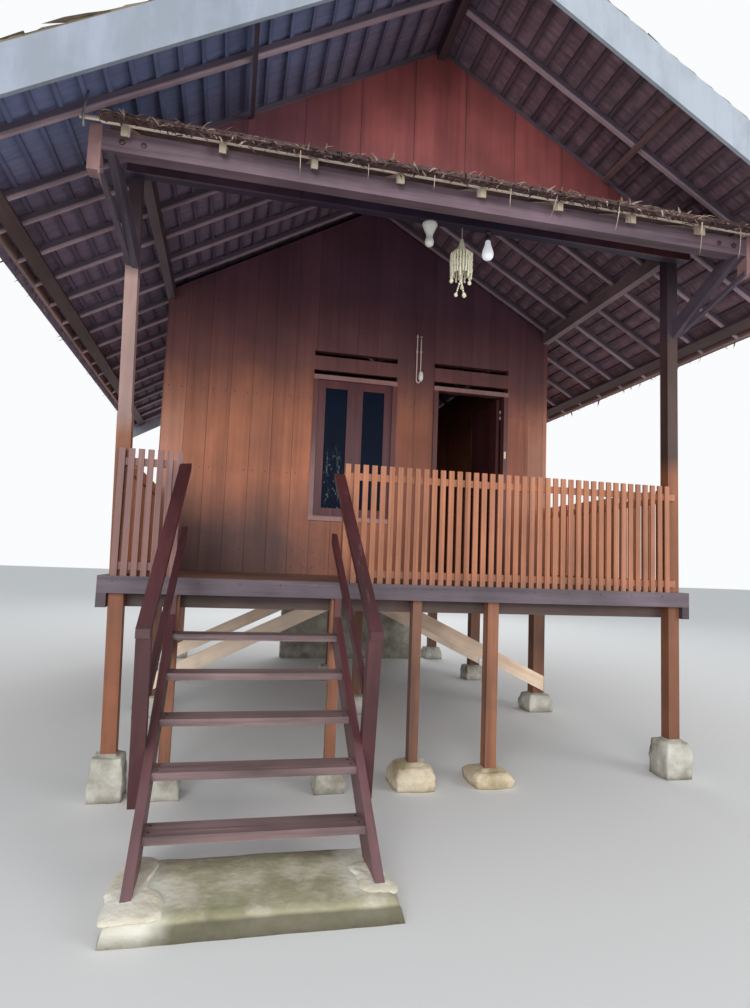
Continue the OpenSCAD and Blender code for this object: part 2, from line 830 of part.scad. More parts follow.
// Places of the rafters along one side. The second one stands over the gable boarding.
function rafter_places(first) = [for (i = [0 : floor((roof_y1 - rafter_t - first) / rafter_pitch)])
    i == 1 ? gable_rafter_y : first + i * rafter_pitch];

module rafter_row(first) {
    difference() {
        for (y = rafter_places(first))
            slope_band(ridge_beam_w / 2, rafter_reach, 0, rafter_up, y - rafter_t / 2, y + rafter_t / 2);
        box(plate_in, post_half, post_y, back_y, plate_bottom, plate_top);
    }
}

module rafters() {
    color([0.42, 0.28, 0.22]) {
        mirror([1, 0, 0]) rafter_row(-rafter_first);
        rafter_row(rafter_stagger - rafter_first);
    }
}

module eave_strips() {
    color([0.62, 0.5, 0.42]) both_sides()
        slope_band(rafter_reach, rafter_reach + eave_strip_t, 0, rafter_up + lath_up, roof_y0, roof_y1);
}

module eave_boards() {
    x = rafter_reach - eave_board_in;
    color([0.3, 0.2, 0.18]) both_sides()
        slope_band(x - eave_board_w / 2, x + eave_board_w / 2, -fit - eave_board_t, eave_board_t,
            roof_y0, roof_y1);
}

module roof_laths() {
    width = lath_w * cos(roof_pitch);
    eave = rafter_reach - lath_eave;
    count = floor((eave - ridge_beam_w) / lath_pitch);
    color([0.26, 0.18, 0.15]) both_sides() for (i = [0 : count])
        slope_band(eave - i * lath_pitch - width, eave - i * lath_pitch, lath_low, lath_up,
            roof_y0, roof_y1);
}

module bargeboards() {
    color([0.6, 0.66, 0.68]) for (y = [barge_y0, roof_y1]) both_sides()
        slope_band(0, rafter_reach + barge_over, -barge_drop, barge_drop + barge_rise, y, y + barge_t);
}

// Poles under the first rafters that carry the front bargeboards from the gable
module gable_lookouts() {
    color([0.66, 0.56, 0.48]) both_sides()
        slope_band(lookout_x - lookout_w / 2, lookout_x + lookout_w / 2, -fit - lookout_w, lookout_w,
            roof_y0, gable_y);
}

// The skirt's rafters rest on the outer beam and lean against the gable boarding
skirt_tan = tan(skirt_pitch);
skirt_up = 1 / cos(skirt_pitch);
skirt_y0 = beam_mid - skirt_reach;
pole_in = 25;
pole_y = skirt_y0 + pole_in;
pole_end = pole_y + skirt_pole_w;
skirt_up_high = skirt_rafter_h * skirt_up;
function skirt_under(y) = beam_top - skirt_notch + (y - beam_front) * skirt_tan;

module skirt_rafters() {
    seat = 4;
    low = skirt_up_high - seat;
    high = skirt_up_high + skirt_pole_w;
    color([0.78, 0.68, 0.5]) intersection() {
        union() {
            difference() {
                for (i = [0 : skirt_rafters - 1]) {
                    x = -skirt_first + i * skirt_rafter_pitch;
                    yz_plate([[skirt_y0, skirt_under(skirt_y0)], [gable_y, skirt_under(gable_y)],
                        [gable_y, skirt_under(gable_y) + skirt_up_high],
                        [skirt_y0, skirt_under(skirt_y0) + skirt_up_high]],
                        x - skirt_rafter_t / 2, x + skirt_rafter_t / 2);
                }
                box(-beam_w, beam_w, beam_front, beam_back, beam_bottom, beam_top);
            }
            yz_plate([[pole_y, skirt_under(pole_y) + low], [pole_end, skirt_under(pole_end) + low],
                [pole_end, skirt_under(pole_end) + high], [pole_y, skirt_under(pole_y) + high]],
                -beam_w / 2, beam_w / 2);
        }
        under_roof(skirt_y0, gable_y);
    }
}

module skirt_thatch() {
    nose = 20;
    soft = 25;
    spare = 60;
    low = skirt_up_high;
    over_pole = low + skirt_pole_w;
    edge = skirt_y0 - skirt_over;
    out = edge - spare;
    top = low + skirt_t * skirt_up;
    color([0.36, 0.3, 0.25]) intersection() {
        difference() {
            yz_plate([[edge, skirt_under(edge) + over_pole], [edge - nose, skirt_under(edge) + top - soft],
                [edge, skirt_under(edge) + top], [gable_y, skirt_under(gable_y) + top],
                [gable_y, skirt_under(gable_y) + low]], -beam_w / 2 + fit, beam_w / 2 - fit);
            yz_plate([[out, skirt_under(out) + low - spare], [pole_end, skirt_under(pole_end) + low - spare],
                [pole_end, skirt_under(pole_end) + over_pole], [out, skirt_under(out) + over_pole]],
                -beam_w, beam_w);
        }
        under_roof(out, gable_y);
    }
}

// Thatch of one slope, thinned at the eave
module thatch_slope() {
    thin = 130;
    lip = 60;
    lift = 15;
    edge_up = 0.6 * thatch_up;
    function under(x) = roof_under(x) + thatch_low;
    color([0.42, 0.37, 0.3])
        xz_plate([[0, under(0)], [thatch_reach - lip, under(thatch_reach - lip)],
            [thatch_reach, under(thatch_reach) + lift], [thatch_reach, under(thatch_reach) + edge_up],
            [thatch_reach - thin, under(thatch_reach - thin) + thatch_up], [0, under(0) + thatch_up]],
            roof_y0 + fit, roof_y1 - fit);
}

module thatch_left() { mirror([1, 0, 0]) thatch_slope(); }

module thatch_right() { thatch_slope(); }

module ridge_cap() {
    round_in = 25;
    crown_w = 60;
    crown_up = 12;
    low = thatch_low + thatch_up + fit;
    high = low + cap_t * slope_up;
    shoulder = cap_reach - round_in;
    color([0.38, 0.33, 0.27])
        xz_plate([[0, ridge_z + low], [cap_reach, roof_under(cap_reach) + low],
            [shoulder, roof_under(shoulder) + high], [crown_w, roof_under(crown_w) + high],
            [0, roof_under(crown_w) + high + crown_up], [-crown_w, roof_under(crown_w) + high],
            [-shoulder, roof_under(shoulder) + high], [-cap_reach, roof_under(cap_reach) + low]],
            roof_y0 + fit, roof_y1 - fit);
}

// Height of the nosing line at a place y in front of the rim
function nosing(y) = deck_z - last_rise + (y + top_tread_y) * stair_slope;

module stair_slab() {
    x0 = stair_x - stringer_t - slab_margin;
    x1 = stair_x1 + stringer_t + slab_margin;
    edge = 30;
    color([0.5, 0.52, 0.42]) hull() {
        box(x0, x1, slab_y0, slab_y1, 0, stair_slab_h - edge);
        box(x0 + edge, x1 - edge, slab_y0 + edge, slab_y1 - edge, 0, stair_slab_h);
    }
}

// Each stringer ends in a head that rises to the underside of the rim
module stair_stringers() {
    above = 15;
    low = stringer_h - above;
    start_y = 2 * stair_foot_y;
    color([0.32, 0.2, 0.23]) for (x = [stair_x - stringer_t, stair_x1]) intersection() {
        yz_plate([[start_y, nosing(start_y) + above], [0, nosing(0) + above], [0, bearer_top],
            [rim_t, bearer_top], [rim_t, nosing(rim_t) - low], [start_y, nosing(start_y) - low]],
            x, x + stringer_t);
        box(x, x + stringer_t, start_y, rim_t, stair_slab_h, bearer_top);
    }
}

module stair_treads() {
    color([0.36, 0.2, 0.22]) for (i = [0 : tread_count - 1]) {
        y = -top_tread_y - i * going;
        z = deck_z - last_rise - i * riser;
        box(stair_x, stair_x1, y, y + tread_d, z - tread_t, z);
    }
}

// Newels lean forward and lap the outer faces of the stringers
newel_foot_y = -newel_top_y + newel_lean;
newel_lean_slope = newel_lean / (newel_top_z - newel_foot_z);
newel_half = newel_w / 2;
newel_xs = [stair_x - stringer_t - newel_w, stair_x1 + stringer_t];
newel_spare = 300;
function rail_line(y) = newel_top_z + (y + newel_top_y) * rail_slope;

// Newel with front and back faces moved out by grow
module newel(x0, x1, grow) {
    high = newel_top_z + newel_spare;
    high_y = newel_foot_y - newel_lean_slope * (high - newel_foot_z);
    yz_plate([[newel_foot_y - newel_half - grow, newel_foot_z], [newel_foot_y + newel_half, newel_foot_z],
        [high_y + newel_half, high], [high_y - newel_half - grow, high]], x0, x1);
}

// Sloping plate that follows the handrails, from low to high above their underside
module rail_plate(i, x0, x1, low, high, start = -newel_top_y - newel_half) {
    turn = (i == 0 ? -1 : 1) * atan(rail_converge / newel_top_y);
    cx = newel_xs[i] + newel_half;
    past = 200;
    intersection() {
        translate([cx, -newel_top_y, 0]) rotate([0, 0, turn]) translate([-cx, newel_top_y, 0])
            yz_plate([[start, rail_line(start) + low], [past, rail_line(past) + low],
                [past, rail_line(past) + high], [start, rail_line(start) + high]], x0, x1);
        box(-rim_half, rim_half, -3 * newel_top_y, rail_front, 0, 2 * deck_z);
    }
}

module stair_newels() {
    color([0.3, 0.12, 0.15]) for (i = [0, 1]) difference() {
        newel(newel_xs[i], newel_xs[i] + newel_w, 0);
        rail_plate(i, newel_xs[i] - newel_w, newel_xs[i] + 2 * newel_w, 0, 3 * newel_spare,
            -2 * newel_top_y);
    }
}

module stair_rails() {
    mid_low = -midrail_drop - midrail_h;
    color([0.34, 0.13, 0.15]) for (i = [0, 1]) {
        inner = i == 0 ? newel_xs[i] + newel_w - midrail_t : newel_xs[i];
        rail_plate(i, newel_xs[i], newel_xs[i] + newel_w, 0, handrail_t);
        difference() {
            rail_plate(i, inner, inner + midrail_t, mid_low, -midrail_drop);
            newel(newel_xs[i] - newel_w, newel_xs[i] + 2 * newel_w, newel_w);
        }
    }
}

// Straight run of slats with a top and a bottom rail behind them, along +X from the origin
module slat_run(length, rail_a, rail_b) {
    count = round((length - slat_w) / slat_pitch);
    step = (length - slat_w) / count;
    for (i = [0 : count])
        translate([i * step, 0, deck_z]) cube([slat_w, slat_t, slat_top_h]);
    for (z = [rail_foot, slat_top_h - rail_drop - rail_h])
        translate([rail_a, slat_t, deck_z + z]) cube([length - rail_a - rail_b, rail_t, rail_h]);
}

module front_railing() {
    outer = post_half - slat_t;
    lap = 60;
    rail_y = rail_front + slat_t;
    top = deck_z + slat_top_h - rail_drop;
    right_end = post_in - slat_t;
    color([0.66, 0.38, 0.24]) {
        translate([-outer, rail_front, 0]) slat_run(rail_left_end + outer, 0, 0);
        translate([rail_right_start, rail_front, 0]) slat_run(right_end - rail_right_start, 0, -lap);
        box(rail_left_end - rail_post_w, rail_left_end, rail_y, rail_y + rail_post_w, deck_z, top);
        box(rail_right_start, rail_right_start + rail_post_w, rail_y, rail_y + rail_post_w, deck_z, top);
    }
}

module side_railings() {
    start = post_y + post_w;
    color([0.6, 0.35, 0.24]) both_sides()
        translate([post_half, start, 0]) rotate([0, 0, 90]) slat_run(wall_y - start, 0, 0);
}

// Two bulbs in holders under the tie beam and the porch rafters, and the looped cable on the wall
module bulb(x, y, z) {
    holder_d = 40;
    holder_h = 45;
    neck_d = 26;
    neck_h = 17;
    sunk = 6;
    translate([x, y, z - holder_h]) cylinder(d = holder_d, h = holder_h);
    translate([x, y, z - holder_h - neck_h]) cylinder(d = neck_d, h = neck_h + 1);
    translate([x, y, z - holder_h - neck_h - bulb_d / 2 + sunk]) sphere(d = bulb_d);
}

bulb_xs = [-33, 429];
chime_x = 221;

module light_fittings() {
    loop_z = deck_z + head_h + 100;
    loop_x = 550;
    loop_w = 44;
    loop_top = plate_bottom - 30;
    clip_side = 12;
    clip_t = 22;
    clip_h = 70;
    y = wall_y - cable_d / 2;
    color([0.85, 0.82, 0.72]) {
        for (x = bulb_xs) bulb(x, tie_y + tie_t / 2, tie_bottom);
        for (x = [loop_x - loop_w / 2, loop_x + loop_w / 2])
            translate([x, y, loop_z]) cylinder(d = cable_d, h = loop_top - loop_z);
        box(loop_x - loop_w / 2 - clip_side, loop_x + loop_w / 2 + clip_side, wall_y - clip_t, wall_y,
            loop_z - clip_h, loop_z);
    }
}

// Chime of shells on strings under a small cap, hung from the tie beam
module shell_chime() {
    cap_d = 120;
    cap_h = 90;
    string_d = 4;
    strand_d = 16;
    hang_l = 70;
    strands = 8;
    shorter = 110;
    color([0.85, 0.82, 0.72]) translate([chime_x, tie_y + tie_t / 2, tie_bottom]) {
        translate([0, 0, -hang_l - cap_h / 2]) cylinder(d = string_d, h = hang_l + cap_h / 2);
        translate([0, 0, -hang_l - cap_h]) cylinder(d1 = cap_d, d2 = string_d * 3, h = cap_h);
        for (i = [0 : strands - 1]) {
            long = chime_l - hang_l - cap_h - (i % 2) * shorter;
            rotate([0, 0, i * 360 / strands]) translate([cap_d / 2 - strand_d, 0, -hang_l - cap_h - long])
                cylinder(d = strand_d, h = long);
        }
    }
}

place() footing_blocks();
place() porch_posts();
place() rim_props();
place() house_stilts();
place() side_bearers();
place() cross_bearers();
place() rim_beam();
place() floor_joists();
place() porch_deck();
place() house_floor();
place() underfloor_braces();
place() masonry_pier();
place() front_wall_left();
place() front_wall_right();
place() front_wall_over();
place() front_wall_gable();
place() left_wall();
place() right_wall();
place() back_wall();
place() vent_boards();
place() window_frame();
place() window_sashes();
place() window_glass();
place() door_frame();
place() door_hinges();
place() door_leaf();
place() wall_plates();
place() tie_beams();
place() gable_boarding();
place() outer_beam();
place() beam_struts();
place() ridge_beam();
place() rafters();
place() eave_strips();
place() eave_boards();
place() roof_laths();
place() bargeboards();
place() gable_lookouts();
place() skirt_rafters();
place() skirt_thatch();
place() thatch_left();
place() thatch_right();
place() ridge_cap();
place() stair_slab();
place() stair_stringers();
place() stair_treads();
place() stair_newels();
place() stair_rails();
place() front_railing();
place() side_railings();
place() light_fittings();
place() shell_chime();
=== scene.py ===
import math

import bmesh
import bpy
from bpy.props import FloatProperty, FloatVectorProperty, IntProperty, PointerProperty
from mathutils import Matrix, Vector, noise


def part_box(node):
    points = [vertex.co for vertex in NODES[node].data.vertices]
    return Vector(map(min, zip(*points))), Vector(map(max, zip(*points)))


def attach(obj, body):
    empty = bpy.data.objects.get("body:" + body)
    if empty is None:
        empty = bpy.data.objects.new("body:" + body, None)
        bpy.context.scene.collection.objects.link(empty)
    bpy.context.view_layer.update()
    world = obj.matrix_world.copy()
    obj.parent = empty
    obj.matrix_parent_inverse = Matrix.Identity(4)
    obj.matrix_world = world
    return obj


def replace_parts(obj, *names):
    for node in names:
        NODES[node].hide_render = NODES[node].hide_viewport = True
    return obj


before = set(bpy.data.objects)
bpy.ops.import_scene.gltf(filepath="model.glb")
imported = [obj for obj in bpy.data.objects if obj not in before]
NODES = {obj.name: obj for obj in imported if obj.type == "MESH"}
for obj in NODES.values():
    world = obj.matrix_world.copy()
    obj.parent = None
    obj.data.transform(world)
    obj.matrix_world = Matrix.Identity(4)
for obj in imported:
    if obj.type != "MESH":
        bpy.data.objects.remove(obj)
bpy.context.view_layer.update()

bl_info = {
    "name": "Stilt House Finish",
    "version": (1, 0, 0),
    "blender": (4, 5, 0),
    "location": "View3D > Sidebar > Stilt House",
    "description": "Boards, thatch, stonework and fittings for a timber house on stilts",
    "category": "Add Mesh",
}

# Heights, pitches and thicknesses shared with the solids, in metres
RIM_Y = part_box("rim_beam")[0].y
PITCH = math.radians(29.6)
TAN = math.tan(PITCH)
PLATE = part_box("wall_plates")[1]
NOTCH = 0.020
RIDGE_Z = PLATE.z - NOTCH + TAN * PLATE.x
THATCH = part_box("thatch_right")
THATCH_THICK = 0.060
THATCH_UP = THATCH_THICK / math.cos(PITCH)
THATCH_LOW = THATCH[1].z - THATCH_UP - RIDGE_Z
LATH_PITCH = 0.128
LATH_INSET = 0.060
EAVE_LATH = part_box("rafters")[1].x - LATH_INSET
SKIRT_PITCH = math.radians(29)
SKIRT_TAN = math.tan(SKIRT_PITCH)
SKIRT_UP = 1 / math.cos(SKIRT_PITCH)
PLANK_SHIFT = 0.087
SLAT_PITCH = 0.063
PAD_WIDTH = 0.32
NAIL_EDGE = 0.045
FRONT_NAILS = (1.46, 1.62, 2.42, 3.22, 3.98)
SIDE_NAILS = (1.46, 2.30, 3.14, 3.98)
SILL_Z = 1.90
HEAD_Z = 3.74


def tone(red, green, blue):
    """Linear colour from 0 to 255 values as read off a picture."""
    def one(v):
        v /= 255
        return v / 12.92 if v <= 0.04045 else ((v + 0.055) / 1.055) ** 2.4
    return (one(red), one(green), one(blue))


def roof_under(x):
    """Height of the rafter undersides at a distance x from the middle."""
    return RIDGE_Z - TAN * abs(x)


# Materials

def feed(tree, node, inputs):
    """Sets or links inputs of a node."""
    for key, value in inputs.items():
        if isinstance(value, bpy.types.NodeSocket):
            tree.links.new(value, node.inputs[key])
        else:
            node.inputs[key].default_value = value


def put(tree, kind, inputs=None, **settings):
    """Adds a node, applies its settings and sets or links its inputs."""
    n = tree.nodes.new(kind)
    for key, value in settings.items():
        setattr(n, key, value)
    feed(tree, n, inputs or {})
    return n


def math_node(tree, operation, a, b=0.0):
    return put(tree, "ShaderNodeMath", {0: a, 1: b}, operation=operation).outputs[0]


def times(tree, a, b):
    return math_node(tree, "MULTIPLY", a, b)


def plus(tree, a, b):
    return math_node(tree, "ADD", a, b)


def minus(tree, a, b):
    return math_node(tree, "SUBTRACT", a, b)


def ranged(tree, value, low=0.0, high=1.0, start=0.0, end=1.0):
    """A value taken from one range to another and held at its ends."""
    return put(tree, "ShaderNodeMapRange", {0: value, 1: low, 2: high, 3: start, 4: end}).outputs[0]


def parts_of(tree, vector):
    return put(tree, "ShaderNodeSeparateXYZ", {0: vector}).outputs


def mix_colour(tree, factor, a, b, blend="MIX"):
    n = put(tree, "ShaderNodeMix", {0: factor, 6: a, 7: b}, data_type="RGBA", blend_type=blend)
    return n.outputs[2]


def gained(colour, *gains):
    """A colour made lighter or darker, by one gain or by one for each channel."""
    gains = gains if len(gains) == 3 else gains * 3
    return tuple(v * gain for v, gain in zip(colour, gains))


def rgba(colour, gain=1.0):
    return tuple(min(1.0, v) for v in gained(colour, gain)) + (1.0,)


def ramp(tree, factor, stops):
    n = put(tree, "ShaderNodeValToRGB", {0: factor})
    while len(n.color_ramp.elements) < len(stops):
        n.color_ramp.elements.new(0.5)
    for element, (place, colour) in zip(n.color_ramp.elements, stops):
        element.position = place
        element.color = colour
    return n.outputs[0]


def noise_at(tree, vector, scale, detail, rough, distortion=0.0):
    n = put(tree, "ShaderNodeTexNoise", {"Vector": vector, "Scale": scale, "Detail": detail,
        "Roughness": rough, "Distortion": distortion})
    return n.outputs[0]


def stretched(tree, vector, scale):
    return put(tree, "ShaderNodeMapping", {"Vector": vector, "Scale": scale}).outputs[0]


def new_finish(name):
    mat = bpy.data.materials.new(name)
    mat.use_nodes = True
    tree = mat.node_tree
    bsdf = tree.nodes["Principled BSDF"]
    where = put(tree, "ShaderNodeTexCoord").outputs["Object"]
    return mat, tree, bsdf, where


def bump(tree, bsdf, height, distance, strength):
    n = put(tree, "ShaderNodeBump", {"Height": height, "Distance": distance, "Strength": strength})
    tree.links.new(n.outputs[0], bsdf.inputs["Normal"])


AXES = {"X": 0, "Y": 1, "Z": 2}


def turned(tree, where, axis, angle, mirrored):
    """Object coordinates turned so that the grain runs along a slope, on both sides where mirrored."""
    if mirrored:
        split = parts_of(tree, where)
        right = math_node(tree, "GREATER_THAN", split[0], 0.0)
        shift = math_node(tree, "MULTIPLY_ADD", right, 31.7)
        tree.links.new(split[1], shift.node.inputs[2])
        folded = {0: math_node(tree, "ABSOLUTE", split[0]), 1: shift, 2: split[2]}
        where = put(tree, "ShaderNodeCombineXYZ", folded).outputs[0]
    rotation = [0.0, 0.0, 0.0]
    rotation[AXES[axis]] = angle
    return put(tree, "ShaderNodeMapping", {"Vector": where, "Rotation": rotation}).outputs[0]


def zone(shade, amount, *bounds, ragged=0.6):
    """A tone that covers part of a surface, inside soft bounds. ragged says how uneven its edges are.
    A bound is (axis, start, end), and |X| counts from the middle."""
    return bounds, shade, amount, ragged


def over_zones(tree, where, colour, pattern, zones):
    """Lays the tones of zones over a colour, each inside its soft bounds."""
    split = parts_of(tree, where)
    drift = minus(tree, noise_at(tree, where, 2.1, 4.0, 0.6), 0.5)
    for bounds, shade, amount, ragged in zones:
        share = amount
        for axis, start, end in bounds:
            value = split[AXES[axis.strip("|")]]
            if "|" in axis:
                value = math_node(tree, "ABSOLUTE", value)
            value = plus(tree, value, times(tree, drift, abs(end - start) * ragged))
            share = times(tree, ranged(tree, value, start, end), share)
        grained = mix_colour(tree, pattern, rgba(shade, 0.55), rgba(shade, 1.4))
        colour = mix_colour(tree, share, colour, grained)
    return colour


def timber(name, dark, light, along, rough=0.62, boards=None, patch=0.35, worn=None, grain=1.0, turn=None,
        zones=()):
    """Sawn timber with its grain along one axis.
    boards is (axis, width, offset, tone spread, groove) where a surface is made of boards side by side.
    turn is (axis, angle, mirrored) where the pieces lean."""
    mat, tree, bsdf, where = new_finish(name)
    scale = [26.0 * grain] * 3
    scale[AXES[along]] = 1.1 * grain
    lying = turned(tree, where, *turn) if turn else where
    vector, spread, gap = lying, None, None
    if boards:
        split = parts_of(tree, where)
        axis, width, offset, amount, groove = boards
        place = math_node(tree, "DIVIDE", plus(tree, split[AXES[axis]], offset), width)
        index = math_node(tree, "FLOOR", place)
        white = put(tree, "ShaderNodeTexWhiteNoise", {"W": index}, noise_dimensions="1D")
        spread = ranged(tree, white.outputs["Value"], start=1 - amount, end=1 + amount)
        shift = put(tree, "ShaderNodeVectorMath", {0: white.outputs["Color"], 1: (7.0, 7.0, 7.0)},
            operation="MULTIPLY").outputs[0]
        vector = put(tree, "ShaderNodeVectorMath", {0: lying, 1: shift}, operation="ADD").outputs[0]
        part = math_node(tree, "FRACT", place)
        edge = math_node(tree, "MINIMUM", part, minus(tree, 1.0, part))
        gap = ranged(tree, edge, 0.0, groove / width, 0.0, 1.0)
    lines = noise_at(tree, stretched(tree, vector, scale), 1.0, 7.0, 0.6, 0.25)
    broad = noise_at(tree, stretched(tree, vector, [v * 0.28 for v in scale]), 1.0, 4.0, 0.55, 0.4)
    fine = noise_at(tree, stretched(tree, vector, [v * 4 for v in scale]), 1.0, 4.0, 0.6, 0.1)
    blotch = noise_at(tree, where, 1.7, 3.0, 0.6)
    pattern = plus(tree, times(tree, lines, 0.5), times(tree, broad, 0.5))
    middle = rgba([(a + b * 2) / 3 for a, b in zip(dark, light)])
    colour = ramp(tree, pattern, [(0.32, rgba(dark)), (0.50, middle), (0.66, rgba(light))])
    colour = mix_colour(tree, times(tree, fine, 0.28), colour, rgba(dark, 0.8))
    if worn is not None:
        chips = noise_at(tree, stretched(tree, lying, [v * 0.5 for v in scale]), 1.0, 6.0, 0.7)
        mask = ranged(tree, chips, 0.60, 0.70)
        colour = mix_colour(tree, times(tree, mask, 0.6), colour, rgba(worn))
    if zones:
        colour = over_zones(tree, lying, colour, pattern, zones)
    shade = ranged(tree, blotch, 0.3, 0.7, 1 - patch, 1 + patch * 0.5)
    if spread is not None:
        shade = times(tree, shade, spread)
    vector_shade = put(tree, "ShaderNodeCombineXYZ", {0: shade, 1: shade, 2: shade}).outputs[0]
    colour = mix_colour(tree, 1.0, colour, vector_shade, "MULTIPLY")
    height = plus(tree, times(tree, lines, 0.35), times(tree, fine, 0.15))
    if gap is not None:
        dark_gap = minus(tree, 1.0, gap)
        colour = mix_colour(tree, times(tree, dark_gap, 0.8), colour, rgba(dark, 0.2))
        height = plus(tree, times(tree, gap, 0.8), times(tree, height, 0.5))
    rough = ranged(tree, fine, start=rough - 0.12, end=rough + 0.15)
    feed(tree, bsdf, {"Base Color": colour, "Roughness": rough})
    bump(tree, bsdf, height, 0.004, 0.7)
    return mat


def painted_board(name, colour, dirt, zones):
    """Weathered paint with dirt runs and a faint brushed grain along the board."""
    mat, tree, bsdf, where = new_finish(name)
    runs = noise_at(tree, stretched(tree, where, (9, 9, 1.6)), 1.0, 6.0, 0.65)
    cloud = noise_at(tree, where, 2.2, 4.0, 0.6)
    mask = ranged(tree, plus(tree, times(tree, runs, 0.5), times(tree, cloud, 0.5)), 0.44, 0.68)
    shade = mix_colour(tree, times(tree, mask, 0.6), rgba(colour), rgba(dirt))
    shade = over_zones(tree, where, shade, mask, zones)
    feed(tree, bsdf, {"Base Color": shade, "Roughness": 0.55})
    bump(tree, bsdf, plus(tree, runs, cloud), 0.002, 0.4)
    return mat


def masonry(name, base, pale, stain, scale, moss=None, damp=0.10, zones=()):
    """Rough cast concrete with pits, pale mortar and stains that gather near the ground."""
    mat, tree, bsdf, where = new_finish(name)
    big = noise_at(tree, where, scale * 0.35, 5.0, 0.6)
    grit = noise_at(tree, where, scale * 6, 6.0, 0.7)
    pits = put(tree, "ShaderNodeTexVoronoi", {"Vector": where, "Scale": scale * 3.2}).outputs["Distance"]
    colour = ramp(tree, big, [(0.34, rgba(stain)), (0.5, rgba(base)), (0.66, rgba(pale))])
    colour = mix_colour(tree, times(tree, grit, 0.45), colour, rgba(stain, 0.8))
    if moss is not None:
        patches = ranged(tree, noise_at(tree, where, 5.5, 6.0, 0.65), 0.44, 0.6)
        colour = mix_colour(tree, times(tree, patches, 0.75), colour, rgba(moss))
    if zones:
        colour = over_zones(tree, where, colour, big, zones)
    split = parts_of(tree, where)
    height = plus(tree, split[2], times(tree, big, damp))
    low = ranged(tree, height, damp * 0.4, damp * 1.4, 0.6, 0.0)
    colour = mix_colour(tree, low, colour, rgba(stain, 0.7))
    feed(tree, bsdf, {"Base Color": colour, "Roughness": 0.93})
    height = plus(tree, times(tree, pits, 0.5), times(tree, grit, 0.5))
    bump(tree, bsdf, plus(tree, height, big), 0.006, 0.8)
    return mat


def leaf_finish(name, dark, light, tip, along, rows=None, zones=(), above=None):
    """Dry palm leaf. Streaks run down the slope, and painted shade darkens each row where the next one
    laps over it.
    """
    mat, tree, bsdf, where = new_finish(name)
    scale = [34.0, 34.0, 34.0]
    for axis in along:
        scale[AXES[axis]] = 3.0
    streak = noise_at(tree, stretched(tree, where, scale), 1.0, 7.0, 0.65, 0.2)
    leaf = noise_at(tree, where, 11.0, 3.0, 0.6)
    cloud = noise_at(tree, where, 1.3, 4.0, 0.6)
    colour = ramp(tree, streak, [(0.32, rgba(dark)), (0.55, rgba(light)), (0.74, rgba(tip))])
    colour = mix_colour(tree, ranged(tree, leaf, 0.35, 0.7, 0.0, 0.7), colour, rgba(dark, 0.8))
    colour = mix_colour(tree, ranged(tree, cloud, 0.4, 0.7, 0.0, 0.5), colour, rgba(tip, 0.8))
    # Painted shade where each row laps the next.
    if rows:
        split = parts_of(tree, where)
        out = math_node(tree, "ABSOLUTE", split[AXES[rows[0]]])
        part = math_node(tree, "FRACT", math_node(tree, "DIVIDE", minus(tree, out, rows[2]), rows[1]))
        lap_shade = ranged(tree, part, 0.0, 0.45, 0.65, 0.0)
        colour = mix_colour(tree, lap_shade, colour, rgba(dark, 0.45))
    if zones:
        colour = over_zones(tree, where, colour, streak, zones)
    if above:
        level, shade = above
        colour = over_zones(tree, turned(tree, where, "Y", -PITCH, True), colour, streak,
            [zone(shade, 1.0, ("Z", level, level + 0.006), ragged=0.0)])
    feed(tree, bsdf, {"Base Color": colour, "Roughness": 0.85})
    bump(tree, bsdf, plus(tree, streak, leaf), 0.006, 0.8)
    return mat


def plain_finish(name, colour, rough, metallic=0.0, spots=0.2, scale=60.0):
    """Smooth made surface with slight mottling in tone and roughness."""
    mat, tree, bsdf, where = new_finish(name)
    mottle = noise_at(tree, where, scale, 5.0, 0.6)
    shade = ranged(tree, mottle, 0.3, 0.7, 0.0, spots)
    feed(tree, bsdf, {"Base Color": mix_colour(tree, shade, rgba(colour), rgba(colour, 0.55)),
        "Roughness": ranged(tree, mottle, start=max(0.02, rough - 0.08), end=rough + 0.1),
        "Metallic": metallic})
    bump(tree, bsdf, mottle, 0.0006, 0.3)
    return mat


def clad(mat, *names):
    """Gives CAD nodes a finish."""
    for name in names:
        node = NODES[name]
        node.data.materials.clear()
        node.data.materials.append(mat)


# Meshes

def linked(name, data):
    """A new object in the scene."""
    obj = bpy.data.objects.new(name, data)
    bpy.context.scene.collection.objects.link(obj)
    return obj


def new_piece(name, mesh, mat, body="house"):
    """A finished piece at the origin, riding on its body."""
    obj = linked(name, mesh)
    mesh.materials.clear()
    mesh.materials.append(mat)
    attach(obj, body)
    return obj


def mesh_from(bm, name, smooth=False):
    bmesh.ops.recalc_face_normals(bm, faces=bm.faces)
    mesh = bpy.data.meshes.new(name)
    for face in bm.faces:
        face.smooth = smooth
    bm.to_mesh(mesh)
    bm.free()
    return mesh


def shell(name, columns, rows, surface, smooth=False):
    """Closed sheet between the lower and upper side of surface(share, share, upper)."""
    bm = bmesh.new()
    low, high = [[[bm.verts.new(surface(i / columns, j / rows, upper)) for j in range(rows + 1)]
        for i in range(columns + 1)] for upper in (False, True)]
    for grid, turn in ((low, -1), (high, 1)):
        for i in range(columns):
            for j in range(rows):
                bm.faces.new([grid[i][j], grid[i + 1][j], grid[i + 1][j + 1], grid[i][j + 1]][::turn])
    for i in range(columns):
        for j in (0, rows):
            bm.faces.new([low[i][j], low[i + 1][j], high[i + 1][j], high[i][j]])
    for j in range(rows):
        for i in (0, columns):
            bm.faces.new([low[i][j], low[i][j + 1], high[i][j + 1], high[i][j]])
    return mesh_from(bm, name, smooth)


def band(bm, a, b):
    """Faces between two rings of as many points."""
    for k in range(len(a)):
        n = (k + 1) % len(a)
        bm.faces.new([a[k], b[k], b[n], a[n]])


